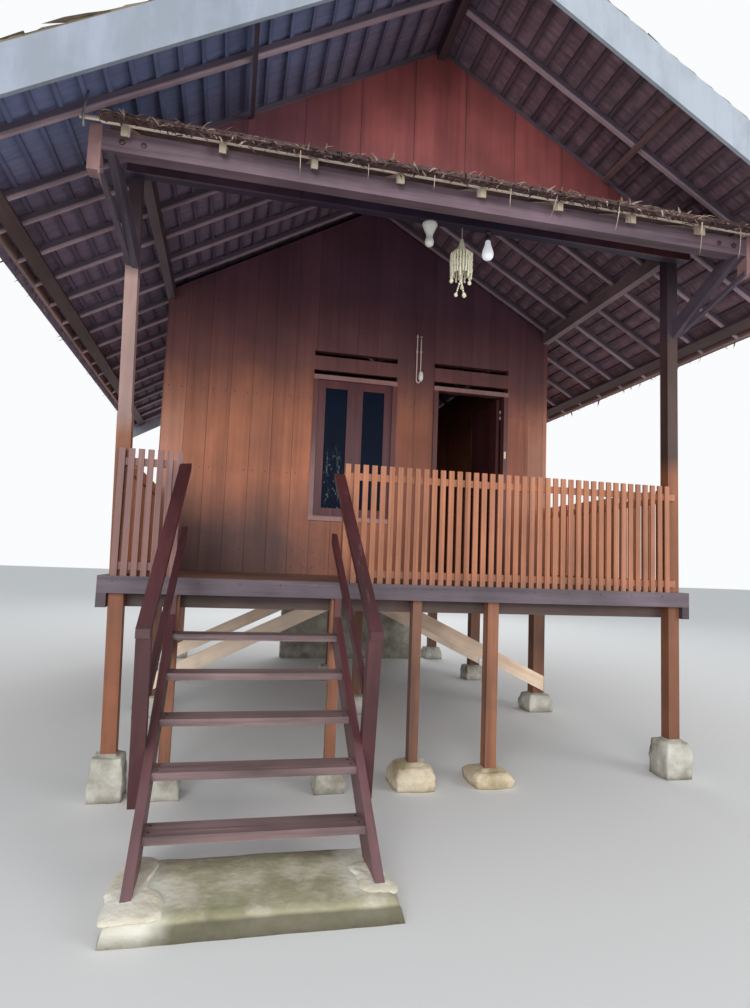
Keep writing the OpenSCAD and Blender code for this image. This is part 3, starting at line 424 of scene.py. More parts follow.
def add_box(bm, low, high, bevel):
    """Box between two corners, with its edges eased."""
    made = bmesh.ops.create_cube(bm, size=1.0)["verts"]
    for v in made:
        v.co = Vector([low[k] + (v.co[k] + 0.5) * (high[k] - low[k]) for k in range(3)])
    edges = list(dict.fromkeys(e for v in made for e in v.link_edges))
    bmesh.ops.bevel(bm, geom=edges, offset=bevel, segments=2, affect="EDGES", profile=0.6)


def add_turned(bm, profile, centre, sides):
    """Turned shape about an upright axis. profile is (radius, height) from the top down."""
    rings = []
    for radius, height in profile:
        turns = [2 * math.pi * k / sides for k in range(sides if radius > 1e-6 else 1)]
        rings.append([bm.verts.new((centre[0] + radius * math.cos(turn),
            centre[1] + radius * math.sin(turn), centre[2] + height)) for turn in turns])
    for a, b in zip(rings, rings[1:]):
        if len(a) == len(b):
            band(bm, a, b)
            continue
        for k in range(sides):
            n = (k + 1) % sides
            bm.faces.new([a[0], b[k], b[n]] if len(a) == 1 else [a[k], b[0], a[n]])
    for ring in (rings[0], rings[-1]):
        if len(ring) > 1:
            bm.faces.new(ring)


def solid_boxes(mesh):
    """The bounding box of each separate solid in a mesh, in the order of their vertices."""
    copy = bmesh.new()
    copy.from_mesh(mesh)
    bmesh.ops.remove_doubles(copy, verts=copy.verts, dist=1e-5)
    boxes, seen = [], set()
    for first in copy.verts:
        if first in seen:
            continue
        seen.add(first)
        group, stack = [], [first]
        while stack:
            vert = stack.pop()
            group.append(vert.co.copy())
            for near in [edge.other_vert(vert) for edge in vert.link_edges]:
                if near not in seen:
                    seen.add(near)
                    stack.append(near)
        boxes.append([[end(place[k] for place in group) for k in range(3)] for end in (min, max)])
    copy.free()
    return boxes


def stone(bm, low, high, seed, rough, rounding):
    """Lumpy cast block inside the box from low to high, flat on the ground, level where a post stands."""
    low, high = Vector(low), Vector(high)
    middle, half = (low + high) / 2, (high - low) / 2
    size, level_part = min(half.x, half.y), 0.62
    apart = Vector((seed * 3.1, seed * 1.7, 0))
    cube = bmesh.new()
    bmesh.ops.create_cube(cube, size=2.0)
    bmesh.ops.subdivide_edges(cube, edges=cube.edges[:], cuts=15, use_grid_fill=True)
    for v in cube.verts:
        p = v.co.copy()
        ball = p.normalized() * 1.05
        q = p.lerp(ball, rounding * (0.5 + 0.5 * max(0.0, p.z)))
        share = 1.0 - 0.10 * max(0.0, q.z)
        place = Vector((q.x * half.x * share, q.y * half.y * share, q.z * half.z))
        lump = noise.fractal(place * (2.2 / size) * 0.5 + apart, 0.8, 2.0, 4)
        pit = noise.noise(place * 38 + Vector((seed, 0, 0)))
        pull = 1.0 - rough * (0.6 + 0.9 * lump) - 0.012 * pit
        place.x *= pull
        place.y *= pull
        centred = abs(p.x) < level_part and abs(p.y) < level_part
        if p.z > 0.99 and centred:
            place.z = half.z
        elif p.z > 0:
            place.z *= 1.0 - rough * (0.8 + lump)
        if p.z < -0.99:
            place.z = -half.z
        v.co = middle + place
    mesh = bpy.data.meshes.new("stone")
    cube.to_mesh(mesh)
    cube.free()
    bm.from_mesh(mesh)
    bpy.data.meshes.remove(mesh)


def smear(bm, outline, level, rise, seed):
    """Flat patch of mortar inside a smooth closed outline, on a level surface."""
    rings, sides = 7, 84
    count = len(outline)
    centre = [sum(p[k] for p in outline) / count for k in range(2)]
    edge = []
    for i in range(sides):
        whole, part = divmod(i * count / sides, 1)
        a, b, c, d = (Vector(outline[(int(whole) + k) % count]) for k in (-1, 0, 1, 2))
        bend, twist = 2 * a - 5 * b + 4 * c - d, 3 * b - a - 3 * c + d
        spot = 0.5 * ((2 * b) + (c - a) * part + bend * part ** 2 + twist * part ** 3)
        fray = 0.010 * noise.fractal(Vector((spot.x * 14, spot.y * 14, seed)), 0.7, 2.0, 4)
        edge.append(spot + (spot - Vector(centre)).normalized() * fray)
    over, beneath = [], []
    for side, low in ((over, False), (beneath, True)):
        for i in range(1, rings + 1):
            share = (i / rings) ** 0.7
            ring = []
            for spot in edge:
                x, y = (centre[k] + (spot[k] - centre[k]) * share for k in range(2))
                lump = 1 + 0.5 * noise.fractal(Vector((x * 16, y * 16, seed)), 0.8, 2.0, 3)
                up = -0.012 if low else rise * (1 - share ** 7) * lump - 0.007 * share ** 7
                ring.append(bm.verts.new((x, y, level + up)))
            side.append(ring)
    for side, up in ((over, rise), (beneath, -0.012)):
        hub = bm.verts.new((centre[0], centre[1], level + up))
        for k in range(sides):
            bm.faces.new([hub, side[0][k], side[0][(k + 1) % sides]])
        for a, b in zip(side, side[1:]):
            band(bm, a, b)
    band(bm, over[-1], beneath[-1])


# Leaf rows

def leaf_shape(name, length, width, thick, bend):
    """One folded leaf strip, pointed at its end, along +X from the origin."""
    bm = bmesh.new()
    rings, stations = [], 3
    for i in range(stations):
        s = i / stations
        half = width / 2 * (1.0 - 0.55 * s * s)
        x, z = s * length, -bend * s * s
        rings.append([bm.verts.new((x, -half, z)), bm.verts.new((x, 0, z + thick)),
            bm.verts.new((x, half, z))])
    tip = bm.verts.new((length, 0, -bend))
    bm.faces.new(rings[0])
    for a, b in zip(rings, rings[1:]):
        for k in range(3):
            bm.faces.new([a[k], a[(k + 1) % 3], b[(k + 1) % 3], b[k]])
    for k in range(3):
        bm.faces.new([rings[-1][k], rings[-1][(k + 1) % 3], tip])
    return linked(name, mesh_from(bm, name))


COPY_INPUTS = (("Turn Low", "Vector", (0, 0, 0)), ("Turn High", "Vector", (0, 0, 0)),
    ("Size Low", "Float", 1.0), ("Size High", "Float", 1.0), ("Seed", "Int", 1),
    ("Shape", "Object", None), ("Finish", "Material", None))


def new_tree(name, given):
    """An empty Geometry Nodes tree with its named inputs, and their identifiers by name."""
    tree = bpy.data.node_groups.new(name, "GeometryNodeTree")
    ids = {}
    for key, kind, value in given + COPY_INPUTS:
        socket = tree.interface.new_socket(key, in_out="INPUT", socket_type="NodeSocket" + kind)
        if value is not None:
            socket.default_value = value
        ids[key] = socket.identifier
    tree.interface.new_socket("Geometry", in_out="OUTPUT", socket_type="NodeSocketGeometry")
    return tree, ids, put(tree, "NodeGroupInput").outputs


def copies_on(tree, given, points, turn_seed):
    """One shape on every point, turned and sized at random."""
    turn = put(tree, "FunctionNodeRandomValue", {0: given["Turn Low"], 1: given["Turn High"]},
        data_type="FLOAT_VECTOR")
    tree.links.new(turn_seed, turn.inputs["Seed"])
    size = put(tree, "FunctionNodeRandomValue", {2: given["Size Low"], 3: given["Size High"],
        "Seed": given["Seed"]}, data_type="FLOAT")
    shape = put(tree, "GeometryNodeObjectInfo", {"Object": given["Shape"]})
    return put(tree, "GeometryNodeInstanceOnPoints", {
        "Points": points, "Instance": shape.outputs["Geometry"], "Rotation": turn.outputs[0],
        "Scale": size.outputs[1]}).outputs[0]


def finish_tree(tree, given, geometry):
    """Makes the copies real, gives them their finish and ends the tree."""
    real = put(tree, "GeometryNodeRealizeInstances", {0: geometry})
    done = put(tree, "GeometryNodeSetMaterial", {"Geometry": real.outputs[0],
        "Material": given["Finish"]})
    put(tree, "NodeGroupOutput", {"Geometry": done.outputs[0]})


def rows_tree():
    """Rows and columns of one shape on a grid, scattered a little, then turned and put in place."""
    tree, ids, given = new_tree("Rows of one shape", (
        ("Rows", "Int", 2), ("Columns", "Int", 2), ("Run", "Float", 1.0), ("Length", "Float", 1.0),
        ("Jitter", "Vector", (0, 0, 0)), ("Turn", "Vector", (0, 0, 0)), ("Place", "Vector", (0, 0, 0))))
    grid = put(tree, "GeometryNodeMeshGrid", {"Size X": given["Run"], "Size Y": given["Length"],
        "Vertices X": given["Rows"], "Vertices Y": given["Columns"]})
    less = put(tree, "ShaderNodeVectorMath", {0: given["Jitter"], 1: (-1, -1, -1)}, operation="MULTIPLY")
    shift = put(tree, "FunctionNodeRandomValue", {0: less.outputs[0], 1: given["Jitter"],
        "Seed": given["Seed"]}, data_type="FLOAT_VECTOR")
    moved = put(tree, "GeometryNodeSetPosition", {"Geometry": grid.outputs[0],
        "Offset": shift.outputs[0]})
    copies = copies_on(tree, given, moved.outputs[0], plus(tree, given["Seed"], 11.0))
    placed = put(tree, "GeometryNodeTransform", {"Geometry": copies, "Translation": given["Place"],
        "Rotation": given["Turn"]})
    finish_tree(tree, given, placed.outputs[0])
    return tree, ids


def points_tree():
    """One shape on every point of a mesh, turned and sized at random."""
    tree, ids, given = new_tree("Shape on points", (("Points", "Object", None),))
    places = put(tree, "GeometryNodeObjectInfo", {"Object": given["Points"]})
    finish_tree(tree, given, copies_on(tree, given, places.outputs["Geometry"], given["Seed"]))
    return tree, ids


TREES = {}


def grown(name, build, values):
    """Runs a node tree with its values on an empty holder and returns a plain mesh."""
    if build not in TREES:
        TREES[build] = build()
    tree, ids = TREES[build]
    holder = linked(name + "_holder", bpy.data.meshes.new(name))
    modifier = holder.modifiers.new("grown", "NODES")
    modifier.node_group = tree
    for key, value in values.items():
        modifier[ids[key.replace("_", " ")]] = value
    graph = bpy.context.evaluated_depsgraph_get()
    graph.update()
    mesh = bpy.data.meshes.new_from_object(holder.evaluated_get(graph), depsgraph=graph)
    mesh.name = name
    bpy.data.objects.remove(holder)
    return mesh


def rows_mesh(name, **values):
    """Rows and columns of one shape as a plain mesh."""
    return grown(name, rows_tree, values)


def points_mesh(name, points, **values):
    """One shape on each of a list of places as a plain mesh."""
    spots = bpy.data.meshes.new(name + "_spots")
    spots.from_pydata([tuple(p) for p in points], [], [])
    places = linked(name + "_spots", spots)
    mesh = grown(name, points_tree, dict(values, Points=places))
    bpy.data.objects.remove(places)
    return mesh


def flat_disc(name, radius, thick, sides=8, domed=0.4):
    """Small round head lying in the XY plane, raised by thick."""
    bm = bmesh.new()
    add_turned(bm, [(0.0, thick), (radius * 0.7, thick * (1 - domed * 0.5)),
        (radius, thick * (1 - domed)), (radius, -thick)], (0, 0, 0), sides)
    return linked(name, mesh_from(bm, name))


def bead(name, size):
    """Small lumpy shell with few faces, to be repeated."""
    bm = bmesh.new()
    bmesh.ops.create_icosphere(bm, subdivisions=1, radius=1.0)
    for v in bm.verts:
        lump = 1 + 0.18 * noise.noise(v.co * 3)
        v.co = Vector((v.co.x * size[0], v.co.y * size[1], v.co.z * size[2])) * lump
    return linked(name, mesh_from(bm, name))


def tube(bm, path, radius, sides):
    """Round bar along a list of points, closed at both ends."""
    path = [Vector(p) for p in path]
    turns = [2 * math.pi * k / sides for k in range(sides)]
    rings, side = [], None
    for i, p in enumerate(path):
        ahead = (path[min(i + 1, len(path) - 1)] - path[max(i - 1, 0)]).normalized()
        if side is None:
            upright = Vector((0, 0, 1)) if abs(ahead.z) < 0.9 else Vector((0, 1, 0))
            side = ahead.cross(upright).normalized()
        side = (side - ahead * side.dot(ahead)).normalized()
        other = ahead.cross(side)
        rings.append([bm.verts.new(p + radius * (side * math.cos(turn) + other * math.sin(turn)))
            for turn in turns])
    for a, b in zip(rings, rings[1:]):
        for k in range(sides):
            n = (k + 1) % sides
            bm.faces.new([a[k], a[n], b[n], b[k]])
    bm.faces.new(rings[0][::-1])
    bm.faces.new(rings[-1])


def joined(name, meshes, mat):
    """One piece from several meshes with the same finish."""
    bm = bmesh.new()
    for mesh in meshes:
        bm.from_mesh(mesh)
    mesh = bpy.data.meshes.new(name)
    bm.to_mesh(mesh)
    bm.free()
    return new_piece(name, mesh, mat)


# Sizes and colours that a user would change

class StiltHouseTimber(bpy.types.PropertyGroup):
    post: FloatVectorProperty(name="Posts", description="Tone of the posts and props under the porch",
        subtype="COLOR", default=tone(160, 98, 66))
    wall: FloatVectorProperty(name="Walls", description="Lighter tone of the wall planks",
        subtype="COLOR", default=tone(194, 118, 82))
    gable: FloatVectorProperty(name="Gable", description="Lighter tone of the gable boards",
        subtype="COLOR", default=tone(160, 84, 82))
    stair: FloatVectorProperty(name="Stair", description="Varnish of the stair and its handrails",
        subtype="COLOR", default=tone(98, 52, 55))
    slat: FloatVectorProperty(name="Railing slats", description="Lighter tone of the railing slats",
        subtype="COLOR", default=tone(205, 132, 92))
    plank: FloatProperty(name="Plank width", description="Width of a wall plank", unit="LENGTH",
        default=0.216, min=0.08, max=0.4)


class StiltHouseThatch(bpy.types.PropertyGroup):
    leaf: FloatVectorProperty(name="Leaf", description="Tone of the dry leaves outside", subtype="COLOR",
        default=tone(138, 122, 102))
    under: FloatVectorProperty(name="Underside", description="Tone of the thatch seen from below",
        subtype="COLOR", default=tone(146, 116, 128))
    leaf_w: FloatProperty(name="Leaf width", description="Width of one leaf strip", unit="LENGTH",
        default=0.050, min=0.02, max=0.1)
    leaf_l: FloatProperty(name="Leaf length", description="Length of one leaf strip", unit="LENGTH",
        default=0.34, min=0.1, max=0.6)
    columns: IntProperty(name="Leaves in a row", description="Leaves side by side along one slope",
        default=185, min=40, max=300)
    seed: IntProperty(name="Seed", description="Start of the random scatter", default=7, min=1)


class STILT_OT_stage(bpy.types.Operator):
    """Pale floor, soft lights, world and the camera"""
    bl_idname = "stilt.stage"
    bl_label = "Stage"

    def execute(self, context):
        scene = context.scene
        bm = bmesh.new()
        bmesh.ops.create_grid(bm, x_segments=1, y_segments=1, size=60)
        mesh = mesh_from(bm, "floor")
        floor = linked("floor", mesh)
        floor.location.z = -0.001
        mat = bpy.data.materials.new("pale_floor")
        mat.use_nodes = True
        feed(mat.node_tree, mat.node_tree.nodes["Principled BSDF"],
            {"Base Color": (0.78, 0.77, 0.75, 1), "Roughness": 0.95, "Specular IOR Level": 0.1})
        mesh.materials.append(mat)

        world = bpy.data.worlds.new("soft_sky")
        world.use_nodes = True
        tree = world.node_tree
        path = put(tree, "ShaderNodeLightPath").outputs
        seen = math_node(tree, "MAXIMUM", path["Is Camera Ray"],
            math_node(tree, "MAXIMUM", path["Is Glossy Ray"], path["Is Transmission Ray"]))
        lit = put(tree, "ShaderNodeBackground", {"Color": (0.88, 0.94, 1.0, 1), "Strength": 0.68})
        white = put(tree, "ShaderNodeBackground", {"Color": (0.96, 0.97, 0.98, 1), "Strength": 1.0})
        mix = put(tree, "ShaderNodeMixShader", {0: seen, 1: lit.outputs[0], 2: white.outputs[0]})
        tree.links.new(mix.outputs[0], tree.nodes["World Output"].inputs[0])
        scene.world = world

        for name, place, aim, size, power in (
                ("key", (-7.0, RIM_Y - 17.0, 6.2), (0, RIM_Y + 1.5, 2.2), 9.0, 2000),
                ("fill", (9.0, RIM_Y - 9.0, 5.0), (0, RIM_Y + 1.5, 2.0), 7.0, 520),
                ("back", (3.0, RIM_Y + 15.0, 8.0), (0, RIM_Y + 4.0, 2.5), 7.0, 450)):
            lamp = bpy.data.lights.new(name, "AREA")
            lamp.size = size
            lamp.energy = power
            obj = linked(name, lamp)
            obj.location = place
            obj.rotation_euler = (Vector(aim) - Vector(place)).to_track_quat("-Z", "Y").to_euler()

        data = bpy.data.cameras.new("camera")
        data.lens = 22.919
        data.sensor_width = 36.0
        data.clip_end = 200
        camera = linked("camera", data)
        right = Vector((0.974478, -0.221303, 0.037655))
        up = Vector((-0.056864, -0.081081, 0.995084))
        ahead = Vector((0.217162, 0.971828, 0.091596))
        eye = Vector((-1.3461, RIM_Y - 4.35736, 1.53157))
        aimed = Matrix((right, up, -ahead)).transposed().to_4x4()
        camera.matrix_world = Matrix.Translation(eye) @ aimed
        scene.camera = camera
        scene.view_settings.view_transform = "Standard"
        return {"FINISHED"}


class STILT_OT_timbers(bpy.types.Operator):
    """Finishes of the frame: posts, bearers, floors, braces, beams, rafters and bargeboards"""
    bl_idname = "stilt.timbers"
    bl_label = "Timber Frame"

    def execute(self, context):
        looks = context.scene.stilt_timber
        post = tuple(looks.post)
        dark_post = gained(post, 0.5)
        # Painted shade tone, laid on the posts above the strut feet.
        shade = tone(58, 44, 56)
        roof = ("Y", -PITCH, True)
        beneath = RIDGE_Z * math.cos(PITCH)
        skirt_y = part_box("skirt_rafters")[0].y
        # Painted light and shade: above 2.3 to 2.45 m the left post is painted paler, as lit, and the
        # right post darker, as shaded. Above 3.4 m every post is painted with shade where the strut
        # boards meet it.
        clad(timber("post_timber", dark_post, post, "Z", worn=tone(120, 88, 82), zones=(
            zone(tone(168, 140, 134), 0.8, ("Z", 2.30, 2.45), ("X", 0.5, 0.0)),
            zone(tone(64, 46, 44), 0.92, ("Z", 2.30, 2.45), ("X", 0.0, 0.5)),
            zone(shade, 0.85, ("Z", 3.36, 3.46)),
            zone(tone(112, 72, 50), 0.55, ("Z", 1.40, 1.36), ("X", 0.0, 0.5)))), "porch_posts")
        clad(timber("prop_timber", tone(104, 64, 46), tone(176, 116, 84), "Z", worn=tone(120, 88, 82),
            zones=(
            zone(tone(96, 68, 56), 0.65, ("X", 0.35, 0.2), ("X", -0.6, -0.4)),)), "rim_props")
        clad(timber("stilt_timber", tone(84, 52, 40), tone(142, 94, 68), "Z"), "house_stilts")
        clad(timber("brace_timber", tone(236, 192, 158), tone(255, 236, 214), "X",
            turn=("Y", -math.radians(25), True)), "underfloor_braces")
        clad(timber("rim_timber", tone(54, 46, 54), tone(112, 96, 104), "X", worn=tone(150, 130, 134)),
            "rim_beam")
        clad(timber("bearer_timber", tone(44, 36, 42), tone(86, 72, 78), "Y"), "side_bearers",
            "floor_joists")
        clad(timber("cross_timber", tone(52, 40, 40), tone(96, 74, 68), "X"), "cross_bearers")
        clad(timber("floor_timber", tone(88, 62, 50), tone(142, 104, 82), "X",
            boards=("Y", 0.14, 0.0, 0.18, 0.004)), "porch_deck", "house_floor")
        # Painted light and shade: the plates are painted paler towards the right end, as lit, and darker
        # towards the left end, as shaded.
        clad(timber("plate_timber", tone(44, 30, 36), tone(86, 64, 72), "Y", zones=(
            zone(tone(136, 112, 116), 0.8, ("X", 1.0, 1.6)),
            zone(tone(92, 72, 80), 0.6, ("X", -1.0, -1.6)))), "wall_plates", "ridge_beam")
        clad(timber("tie_timber", tone(28, 26, 42), tone(54, 48, 72), "X"), "tie_beams")
        clad(timber("beam_timber", tone(68, 52, 60), tone(127, 104, 115), "X", worn=tone(150, 128, 134)),
            "outer_beam")
        # Painted highlight: the strut ends beyond 2.2 m from the middle are painted paler, as lit.
        clad(timber("strut_timber", tone(38, 32, 42), tone(82, 68, 80), "Y",
            turn=("X", math.radians(35.5), False), zones=(
            zone(tone(168, 128, 124), 0.7, ("|X|", 2.195, 2.205)),)), "beam_struts")
        # Painted shade: above the lowest 10 to 22 mm the rafters are painted dark, so their sides read as
        # shaded and only the undersides stay pale.
        clad(timber("rafter_timber", tone(136, 112, 120), tone(200, 174, 182), "X", rough=0.7, turn=roof,
            zones=(
            zone(tone(70, 60, 78), 0.88, ("Z", beneath + 0.010, beneath + 0.022)),)), "rafters")
        clad(timber("eave_strip_timber", tone(120, 94, 92), tone(180, 150, 144), "Y"), "eave_strips")
        clad(timber("lookout_timber", tone(80, 60, 62), tone(130, 98, 98), "Y", zones=(
            zone(tone(58, 50, 68), 0.8, ("X", 0.2, -0.6)),)), "gable_lookouts")
        clad(timber("eave_board_timber", tone(52, 38, 42), tone(94, 70, 72), "Y"), "eave_boards")
        # Painted light: the laths of the left slope are painted bluer, as lit by the sky in the shade,
        # and paler and bluer still towards the front eave.
        clad(timber("lath_timber", tone(60, 46, 54), tone(118, 94, 106), "Y", rough=0.8, zones=(
            zone(tone(92, 84, 104), 0.7, ("X", 0.3, -1.6)),
            zone(tone(104, 114, 150), 0.9, ("X", 0.3, -1.2), ("Y", RIM_Y + 0.3, RIM_Y - 0.4)))),
                "roof_laths")
        clad(timber("pole_timber", tone(206, 184, 168), tone(246, 232, 218), "X", patch=0.2, zones=(
            zone(tone(158, 146, 122), 0.9, ("Y", skirt_y + 0.010, skirt_y + 0.004), ragged=0.0),)),
                "skirt_rafters")
        # Painted shade: the left bargeboard is painted darker and bluer than the right.
        clad(painted_board("barge_paint", tone(160, 168, 178), tone(112, 120, 130), (
            zone(tone(134, 142, 158), 0.6, ("X", 0.0, -1.4)),)), "bargeboards")
        return {"FINISHED"}


class STILT_OT_walls(bpy.types.Operator):
    """Plank walls and the red boarded gable"""
    bl_idname = "stilt.walls"
    bl_label = "Walls"

    def execute(self, context):
        looks = context.scene.stilt_timber
        light = tuple(looks.wall)
        dark = gained(light, 0.50, 0.44, 0.42)
        # Painted shade: the first tone on the next line darkens the upper walls under the roof and the
        # porch, and on the front wall a dark purple zone darkens the top further.
        eave_shade, dusty = tone(74, 42, 52), tone(108, 88, 80)
        offset = looks.plank * 10 - PLANK_SHIFT
        front = timber("wall_planks_front", dark, light, "Z", rough=0.55, patch=0.22, grain=0.8,
            boards=("X", looks.plank, offset, 0.13, 0.0035), zones=(
            zone(eave_shade, 0.66, ("Z", 2.95, 3.55)),
            zone(eave_shade, 0.3, ("Z", 2.8, 3.4), ("X", -0.9, 0.4), ragged=0.25),
            zone(tone(74, 50, 80), 0.6, ("Z", 3.4, 4.4)),
            zone(tone(118, 60, 42), 0.65, ("X", -0.1, 0.4), ("Z", 3.2, 2.9)),
            zone(tone(74, 58, 60), 0.84, ("Z", 2.35, 1.75), ("X", 0.2, -0.9)),
            zone(tone(196, 140, 116), 0.45, ("|X|", 1.852, 1.857), ("Z", 3.3, 2.9))))
        side = timber("wall_planks_side", dark, light, "Z", rough=0.58, patch=0.25, grain=0.8,
            boards=("Y", looks.plank, 0.02, 0.16, 0.0035), zones=(
            zone(eave_shade, 0.5, ("Z", 3.3, 4.0)),
            zone(dusty, 0.45, ("Z", 1.75, 1.42))))
        back = timber("wall_planks_back", dark, light, "Z", rough=0.58, patch=0.25, grain=0.8,
            boards=("X", looks.plank, offset, 0.15, 0.0035), zones=(
            zone(eave_shade, 0.5, ("Z", 3.8, 5.0)),
            zone(dusty, 0.45, ("Z", 1.75, 1.42))))
        clad(front, "front_wall_left", "front_wall_right", "front_wall_over", "front_wall_gable",
            "vent_boards")
        clad(side, "left_wall", "right_wall")
        clad(back, "back_wall")
        red = tuple(looks.gable)
        # Painted shade: below 4.27 to 4.34 m the boards are painted dark blue, under the skirt roof. The
        # boards are also darker and bluer towards the left end and darker towards the right end.
        clad(timber("gable_boards", gained(red, 0.42, 0.36, 0.40), red, "Z", rough=0.5, patch=0.35,
            grain=0.7, boards=("X", 0.40, 0.19, 0.12, 0.004), zones=(
            zone(tone(44, 40, 66), 0.94, ("Z", 4.34, 4.27)),
            zone(tone(96, 70, 84), 0.7, ("X", -0.4, -1.6)),
            zone(tone(84, 40, 42), 0.85, ("X", 0.7, 1.7)))), "gable_boarding")
        return {"FINISHED"}


class STILT_OT_openings(bpy.types.Operator):
    """Window and door: frames, sashes, glass, door leaf and hinges"""
    bl_idname = "stilt.openings"
    bl_label = "Window and Door"

    def execute(self, context):
        worn = tone(124, 84, 84)
        # Painted highlights: the frame is painted paler above the head at 3.44 m, on the sill below 2.0 m
        # and on the lower left jamb, where the sky lights it.
        frame_mat = timber("frame_varnish", tone(62, 26, 30), tone(116, 58, 54), "Z", rough=0.42,
            patch=0.25, zones=(
            zone(tone(164, 124, 118), 0.8, ("Z", 3.425, 3.440)),
            zone(tone(176, 138, 134), 0.8, ("Z", 2.02, 1.98), ("X", 0.40, 0.36)),
            zone(tone(160, 122, 122), 0.7, ("Z", 2.9, 2.3), ("X", -0.50, -0.54))))
        sash_mat = timber("sash_varnish", tone(62, 24, 30), tone(106, 48, 52), "Z", rough=0.38, patch=0.2,
            worn=worn)
        clad(frame_mat, "window_frame", "door_frame")
        clad(sash_mat, "window_sashes")
        clad(timber("door_varnish", tone(40, 15, 18), tone(92, 40, 42), "Z", rough=0.55, patch=0.3,
            boards=("Y", 0.148, 0.366, 0.16, 0.004), zones=(
            zone(tone(148, 116, 112), 0.8, ("Y", 0.352, 0.356)),)), "door_leaf")
        clad(plain_finish("hinge_steel", tone(150, 148, 142), 0.38, metallic=1.0), "door_hinges")
        glass, tree, bsdf, where = new_finish("window_glass")
        cloud = noise_at(tree, where, 3.0, 4.0, 0.6)
        # Painted reflection: pale flecks low on the left of the pane.
        reflection_streaks = noise_at(tree, stretched(tree, where, (30, 30, 9)), 1.0, 5.0, 0.7, 1.2)
        colour = mix_colour(tree, cloud, rgba(tone(8, 14, 28)), rgba(tone(20, 30, 50)))
        split = parts_of(tree, where)
        low = ranged(tree, split[2], 2.80, 2.35)
        left = ranged(tree, split[0], -0.05, -0.20)
        flecks = ranged(tree, reflection_streaks, 0.56, 0.66)
        amount = times(tree, times(tree, low, left), flecks)
        colour = mix_colour(tree, times(tree, amount, 0.75), colour, rgba(tone(150, 168, 172)))
        feed(tree, bsdf, {"Base Color": colour, "Roughness": 0.32, "Specular IOR Level": 0.06})
        bump(tree, bsdf, cloud, 0.002, 0.15)
        clad(glass, "window_glass")
        return {"FINISHED"}


